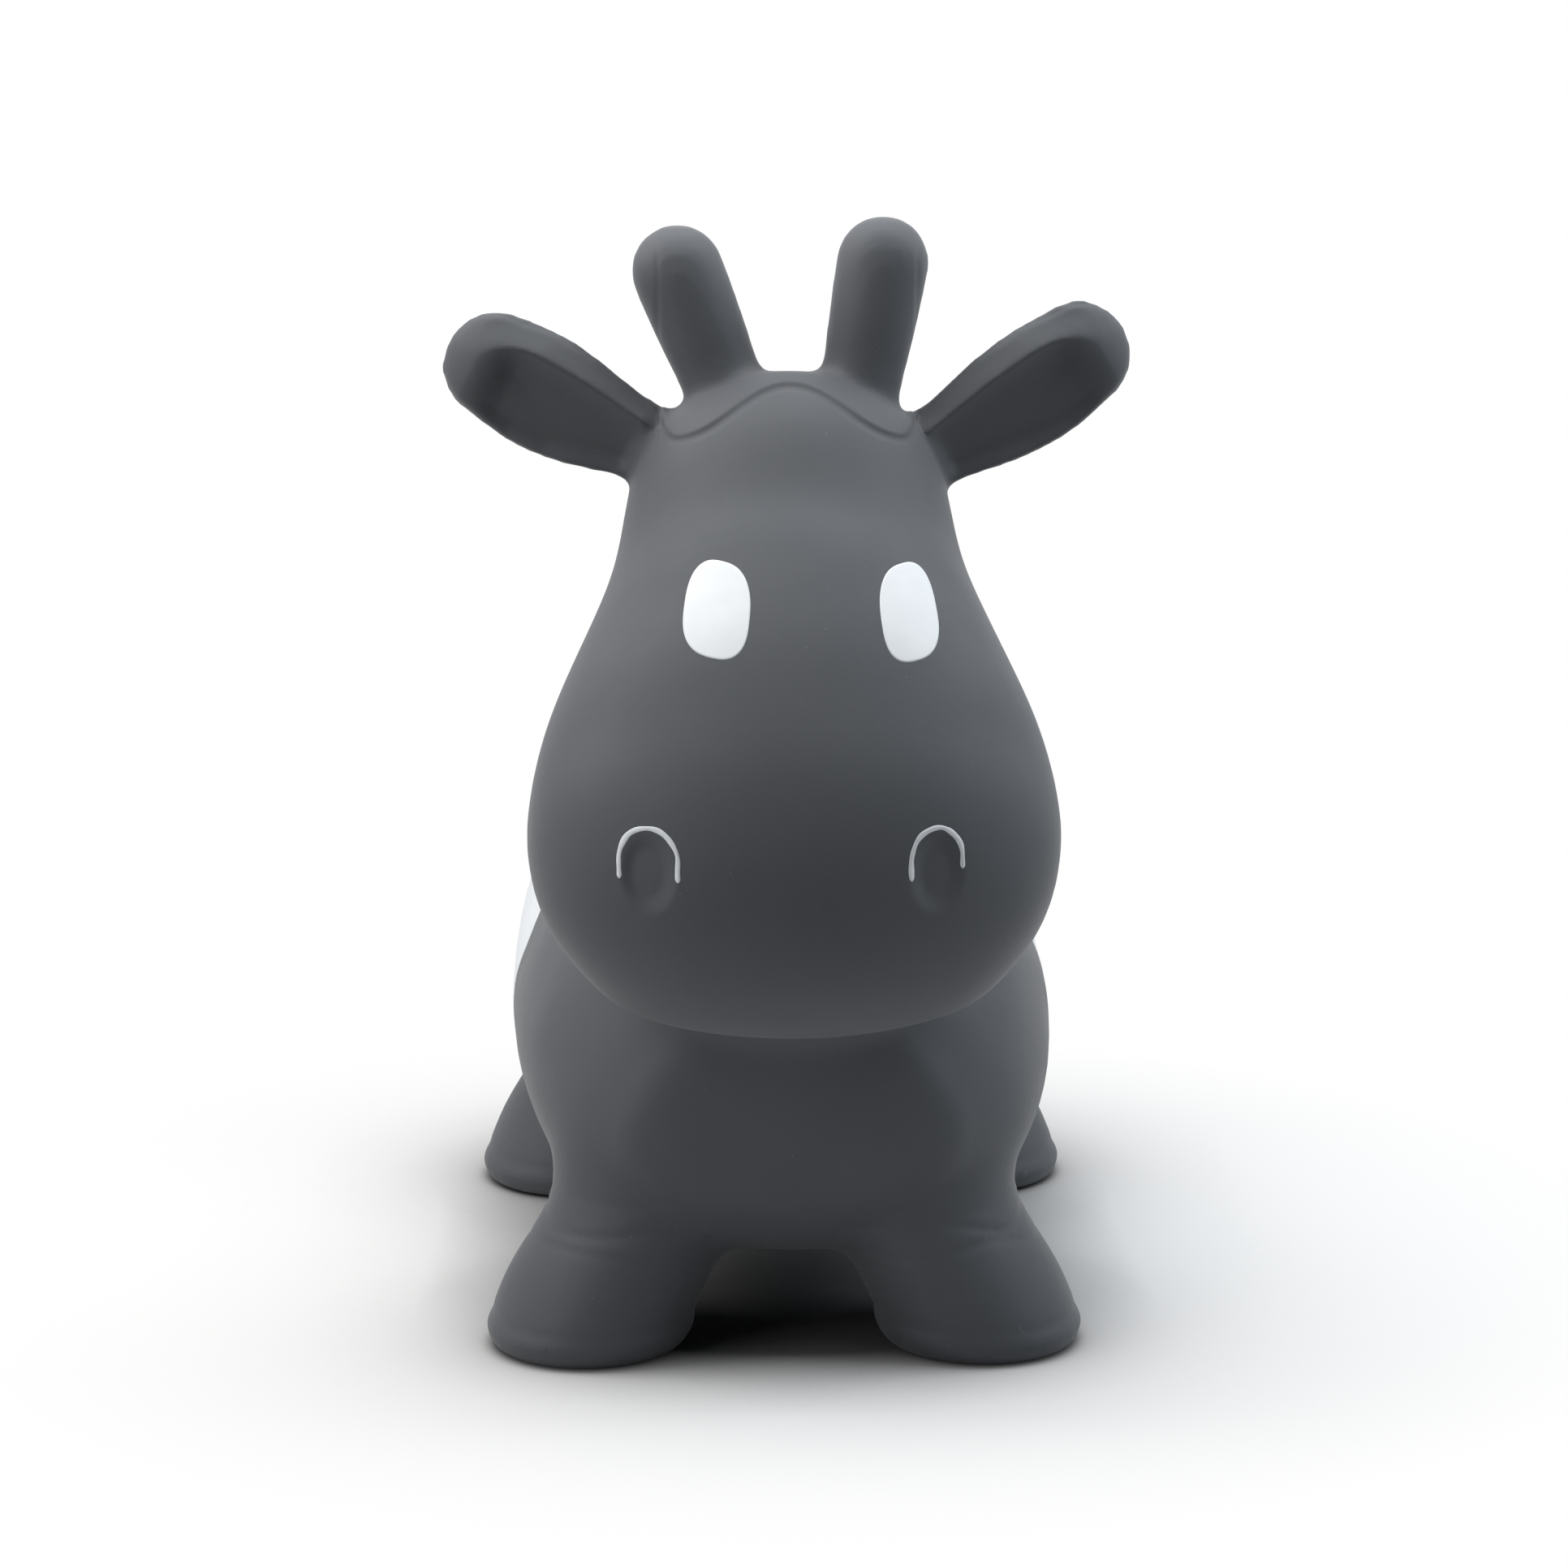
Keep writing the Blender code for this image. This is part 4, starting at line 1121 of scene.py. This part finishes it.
def mixed(tree, share, *colors):
    """A colour between two colours, each given as a colour or as a socket."""
    first, second = ((*color, 1) if isinstance(color, tuple) else color for color in colors)
    return new_node(tree, "ShaderNodeMix", {0: share, 6: first, 7: second}, data_type="RGBA").outputs[2]


def add_grains(tree, shader, coordinates, grains):
    """Lays the bump of each grain over the one before it."""
    below = None
    for scale, detail, depth in grains:
        inputs = {"Strength": 1, "Distance": depth, "Height": noise(tree, coordinates, scale, detail)}
        if below:
            inputs["Normal"] = below
        below = new_node(tree, "ShaderNodeBump", inputs).outputs["Normal"]
    tree.links.new(below, shader.inputs["Normal"])


def new_material(name, roughness):
    material = bpy.data.materials.new(name)
    material.use_nodes = True
    tree = material.node_tree
    shader = tree.nodes["Principled BSDF"]
    shader.inputs["Roughness"].default_value = roughness
    coordinates = new_node(tree, "ShaderNodeTexCoord").outputs["Object"]
    return material, tree, shader, coordinates


def rubber_material(name, tones, roughness):
    """Matt moulded rubber: slow tone changes, fine grain, rubbed spots and a little dust."""
    material, tree, shader, coordinates = new_material(name, roughness)
    dark, light, dusty = tones
    clouds = remapped(tree, noise(tree, coordinates, CLOUD_SCALE, 3), 0.3, 0.7, 0, 1)
    tone = mixed(tree, clouds, dark, light)
    speckle = remapped(tree, noise(tree, coordinates, SPECKLE_SCALE, 2), 0.35, 0.65, 0, SPECKLE_SHARE)
    tone = mixed(tree, speckle, tone, light)
    dust = new_node(tree, "ShaderNodeTexVoronoi", {"Vector": coordinates, "Scale": DUST_SCALE})
    spots = remapped(tree, dust.outputs["Distance"], *DUST_RADII, DUST_SHARE, 0)
    low, high = roughness - ROUGHNESS_SPREAD, roughness + ROUGHNESS_SPREAD
    inputs = {
        "Base Color": mixed(tree, spots, tone, dusty),
        "Roughness": remapped(tree, noise(tree, coordinates, RUB_SCALE, 4), 0.3, 0.7, low, high),
        "Specular IOR Level": RUBBER_SPECULAR,
        "Sheen Weight": RUBBER_SHEEN,
        "Sheen Roughness": SHEEN_ROUGHNESS,
    }
    set_inputs(tree, shader, inputs)
    add_grains(tree, shader, coordinates, RUBBER_GRAINS)
    return material


def paint_material():
    """Matt white paint, brushed on by hand and a little thin in places."""
    material, tree, shader, coordinates = new_material("brushed_white_paint", PAINT_ROUGHNESS)
    thin = remapped(tree, noise(tree, coordinates, PAINT_SCALE, 5, 0.6), 0.3, 0.7, 0, 1)
    inputs = {"Base Color": mixed(tree, thin, *PAINT_TONES), "Specular IOR Level": PAINT_SPECULAR}
    set_inputs(tree, shader, inputs)
    add_grains(tree, shader, coordinates, PAINT_GRAINS)
    return material


def plastic_material():
    """Hard white plastic of the plug, with a faint moulded grain."""
    material, tree, shader, coordinates = new_material("moulded_white_plastic", PLASTIC_ROUGHNESS)
    tone = mixed(tree, noise(tree, coordinates, PLASTIC_SCALE, 3), *PLASTIC_TONES)
    tree.links.new(tone, shader.inputs["Base Color"])
    add_grains(tree, shader, coordinates, PLASTIC_GRAINS)
    return material


def finish_piece(obj, material, slot, *nodes):
    obj.data.materials.clear()
    obj.data.materials.append(material)
    if nodes:
        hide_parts(*nodes)


def add_lamp(name, place, size, power, color):
    lamp = bpy.data.lights.new(name, "AREA")
    lamp.shape = "RECTANGLE"
    lamp.size, lamp.size_y = size
    lamp.energy = power
    lamp.color = color
    obj = new_object(name, lamp)
    obj.location = place
    obj.rotation_mode = "QUATERNION"
    obj.rotation_quaternion = (LAMP_TARGET - Vector(place)).to_track_quat("-Z", "Y")


def show(tree, share, first, second, output):
    """Mixes two shaders by a share and shows the outcome."""
    mix = new_node(tree, "ShaderNodeMixShader", {0: share, 1: first.outputs[0], 2: second.outputs[0]})
    new_node(tree, output, {0: mix.outputs[0]})


def seen_directly(tree):
    """1 for a ray from the camera, or for one that a gloss or a clear body sends on."""
    path = new_node(tree, "ShaderNodeLightPath")
    total = path.outputs["Is Camera Ray"]
    for name in ("Is Glossy Ray", "Is Transmission Ray"):
        inputs = {0: total, 1: path.outputs[name]}
        total = new_node(tree, "ShaderNodeMath", inputs, operation="MAXIMUM").outputs[0]
    return total


def make_world():
    """White where it is seen, and nearly no light of its own."""
    world = bpy.data.worlds.new("studio")
    bpy.context.scene.world = world
    world.use_nodes = True
    tree = world.node_tree
    tree.nodes.clear()
    white = new_node(tree, "ShaderNodeBackground", {"Color": (1, 1, 1, 1)})
    soft = new_node(tree, "ShaderNodeBackground", {"Color": (*WORLD_TONE, 1), "Strength": WORLD_STRENGTH})
    show(tree, seen_directly(tree), soft, white, "ShaderNodeOutputWorld")


def make_floor():
    """A pale floor that keeps the cow's shadow, with shade painted from ambient occlusion near the cow, and
    runs out to plain white.
    """
    shape = bmesh.new()
    bmesh.ops.create_grid(shape, x_segments=2, y_segments=2, size=FLOOR_HALF)
    floor = smooth_object(mesh_from(shape, "floor"), "floor")
    floor.location.z = -FLOOR_DROP
    material = bpy.data.materials.new("floor")
    material.use_nodes = True
    tree = material.node_tree
    tree.nodes.clear()
    coordinates = new_node(tree, "ShaderNodeTexCoord").outputs["Object"]
    away = new_node(tree, "ShaderNodeVectorMath", {0: coordinates}, operation="LENGTH")
    far = remapped(tree, away.outputs["Value"], *FLOOR_FADE, 0, 1)
    direct = seen_directly(tree)
    open_near, open_wide = (
        new_node(tree, "ShaderNodeAmbientOcclusion", {"Distance": reach}, samples=SHADE_SAMPLES).outputs["AO"]
        for reach in (EDGE_SHADE_REACH, SHADE_REACH)
    )
    # Painted shade: for rays from the camera, ambient occlusion darkens the floor's colour under and round
    # the cow
    clear = remapped(tree, open_wide, SHADE_START, 1, 0, 1)
    tone = mixed(tree, direct, FLOOR_TONE, mixed(tree, clear, *SHADE_TONES))
    lit = new_node(tree, "ShaderNodeBsdfDiffuse", {"Color": tone})
    # Painted contact shadow: ambient occlusion darkens the plain white close to the feet
    glow = mixed(tree, open_near, EDGE_SHADE, (1, 1, 1))
    white = new_node(tree, "ShaderNodeEmission", {"Color": glow, "Strength": 1})
    share = new_node(tree, "ShaderNodeMath", {0: far, 1: direct}, operation="MULTIPLY").outputs[0]
    show(tree, share, lit, white, "ShaderNodeOutputMaterial")
    floor.data.materials.append(material)


def make_camera():
    camera = bpy.data.cameras.new("camera")
    camera.sensor_width = SENSOR
    camera.lens = SENSOR * VIEW_DISTANCE / VIEW_SIZE
    camera.shift_x = -SHIFT_PIXELS / FRAME_PIXELS
    camera.dof.use_dof = False
    obj = new_object("camera", camera)
    back = view_back()
    obj.location = VIEW_TARGET + back * VIEW_DISTANCE
    obj.rotation_mode = "QUATERNION"
    obj.rotation_quaternion = (-back).to_track_quat("-Z", "Y")
    bpy.context.scene.camera = obj


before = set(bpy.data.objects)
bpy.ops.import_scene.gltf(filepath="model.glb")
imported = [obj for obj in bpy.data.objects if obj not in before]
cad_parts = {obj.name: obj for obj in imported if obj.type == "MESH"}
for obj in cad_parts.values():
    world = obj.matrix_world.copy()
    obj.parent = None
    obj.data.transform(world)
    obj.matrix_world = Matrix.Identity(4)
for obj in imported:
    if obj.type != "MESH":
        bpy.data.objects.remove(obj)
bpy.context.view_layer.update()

rubber = rubber_material("matt_rubber", RUBBER_TONES, RUBBER_ROUGHNESS)
seat_rubber = rubber_material("valve_rubber", SEAT_TONES, SEAT_ROUGHNESS)
paint = paint_material()
plastic = plastic_material()

# Skin
skin, skin_tree = make_skin()
for name, obj in skin.items():
    finish_piece(obj, rubber, "skin_rubber", name)
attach(skin["torso"], "torso")
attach(skin["head"], "head")
neck_middle, neck_way = neck_seam()
neck_way *= NECK_BAND / 2
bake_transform(skin["neck"])
for name, root, along, (start, end), _ in limb_seams():
    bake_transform(skin[name])
for side_name, x_sign in SIDES:
    for leg_name, _, _, _ in LEGS:
        leg = skin[f"leg_{leg_name}_{side_name}"]
        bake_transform(leg)

# Paint
middle_of_head = Vector((0, between(CROWN_Y, CHIN_Y, 0.5), 0))
for side_name, x_sign in SIDES:
    tilt = math.radians(EYE_TILT_DEG[side_name])
    outline = rounded_oval(EYE_WIDTH[side_name], EYE_HEIGHT, tilt)
    origin = middle_of_head + Vector((EYE_X[side_name], 0, EYE_Z[side_name]))
    eye = film(f"painted_eye_{side_name}", outline, origin, X_AXIS, Z_AXIS)
    origin = middle_of_head + Vector((NOSTRIL_X[side_name], 0, ARCH_Z))
    line = arch_line(ARCH_WIDTH[side_name], ARCH_LEG_SHARES[side_name])
    arch = stroke(f"painted_arch_{side_name}", line, origin, x_sign + 2)
    origin = Vector((0, PATCH_Y[side_name], PATCH_Z))
    patch = film(f"painted_patch_{side_name}", patch_outline(x_sign), origin, Y_AXIS * x_sign, Z_AXIS)
    for obj, node, body in (
        (eye, f"eye_{side_name}", "head"),
        (arch, f"nostril_arch_{side_name}", "head"),
        (patch, f"flank_patch_{side_name}", "torso"),
    ):
        finish_piece(obj, paint, "white_paint", node)
        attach(obj, body)

# Valve
seat_low, seat_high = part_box("valve_seat")
plug_low, plug_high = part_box("valve_plug")
flange_radius = (seat_high.x - seat_low.x) / 2
plug_radius = (plug_high.x - plug_low.x) / 2
face = seat_low.z
collar = face + VALVE_COLLAR
pocket_radius = plug_radius + VALVE_CLEARANCE
pocket_floor = face + PLUG_HEAD + VALVE_CLEARANCE
seat = turned(
    "valve_bush",
    [
        (flange_radius, collar + FLANGE_THICKNESS),
        (flange_radius, collar),
        (SLEEVE_RADIUS, collar),
        (SLEEVE_RADIUS, face),
        (pocket_radius, face),
        (pocket_radius, pocket_floor),
        (BORE_RADIUS, pocket_floor),
        (BORE_RADIUS, seat_high.z),
        (SLEEVE_RADIUS, seat_high.z),
        (SLEEVE_RADIUS, collar + FLANGE_THICKNESS),
    ],
    Vector((0, VALVE_Y, 0)),
    True,
)
finish_piece(seat, seat_rubber, "valve_rubber", "valve_seat")
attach(seat, "torso")
stem = BORE_RADIUS - VALVE_CLEARANCE
plug = turned(
    "valve_stopper",
    [
        (0, plug_high.z),
        (stem * PLUG_TIP_SHARE, plug_high.z),
        (stem, plug_high.z - stem),
        (stem, face + PLUG_HEAD),
        (plug_radius, face + PLUG_HEAD),
        (plug_radius, face),
        (0, face),
    ],
    Vector((0, VALVE_Y, 0)),
    False,
)
finish_piece(plug, plastic, "plug_plastic", "valve_plug")
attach(plug, "plug")

# Studio
make_floor()
make_world()
make_camera()
for lamp in LAMPS:
    add_lamp(*lamp)
bpy.context.scene.view_settings.view_transform = "Standard"
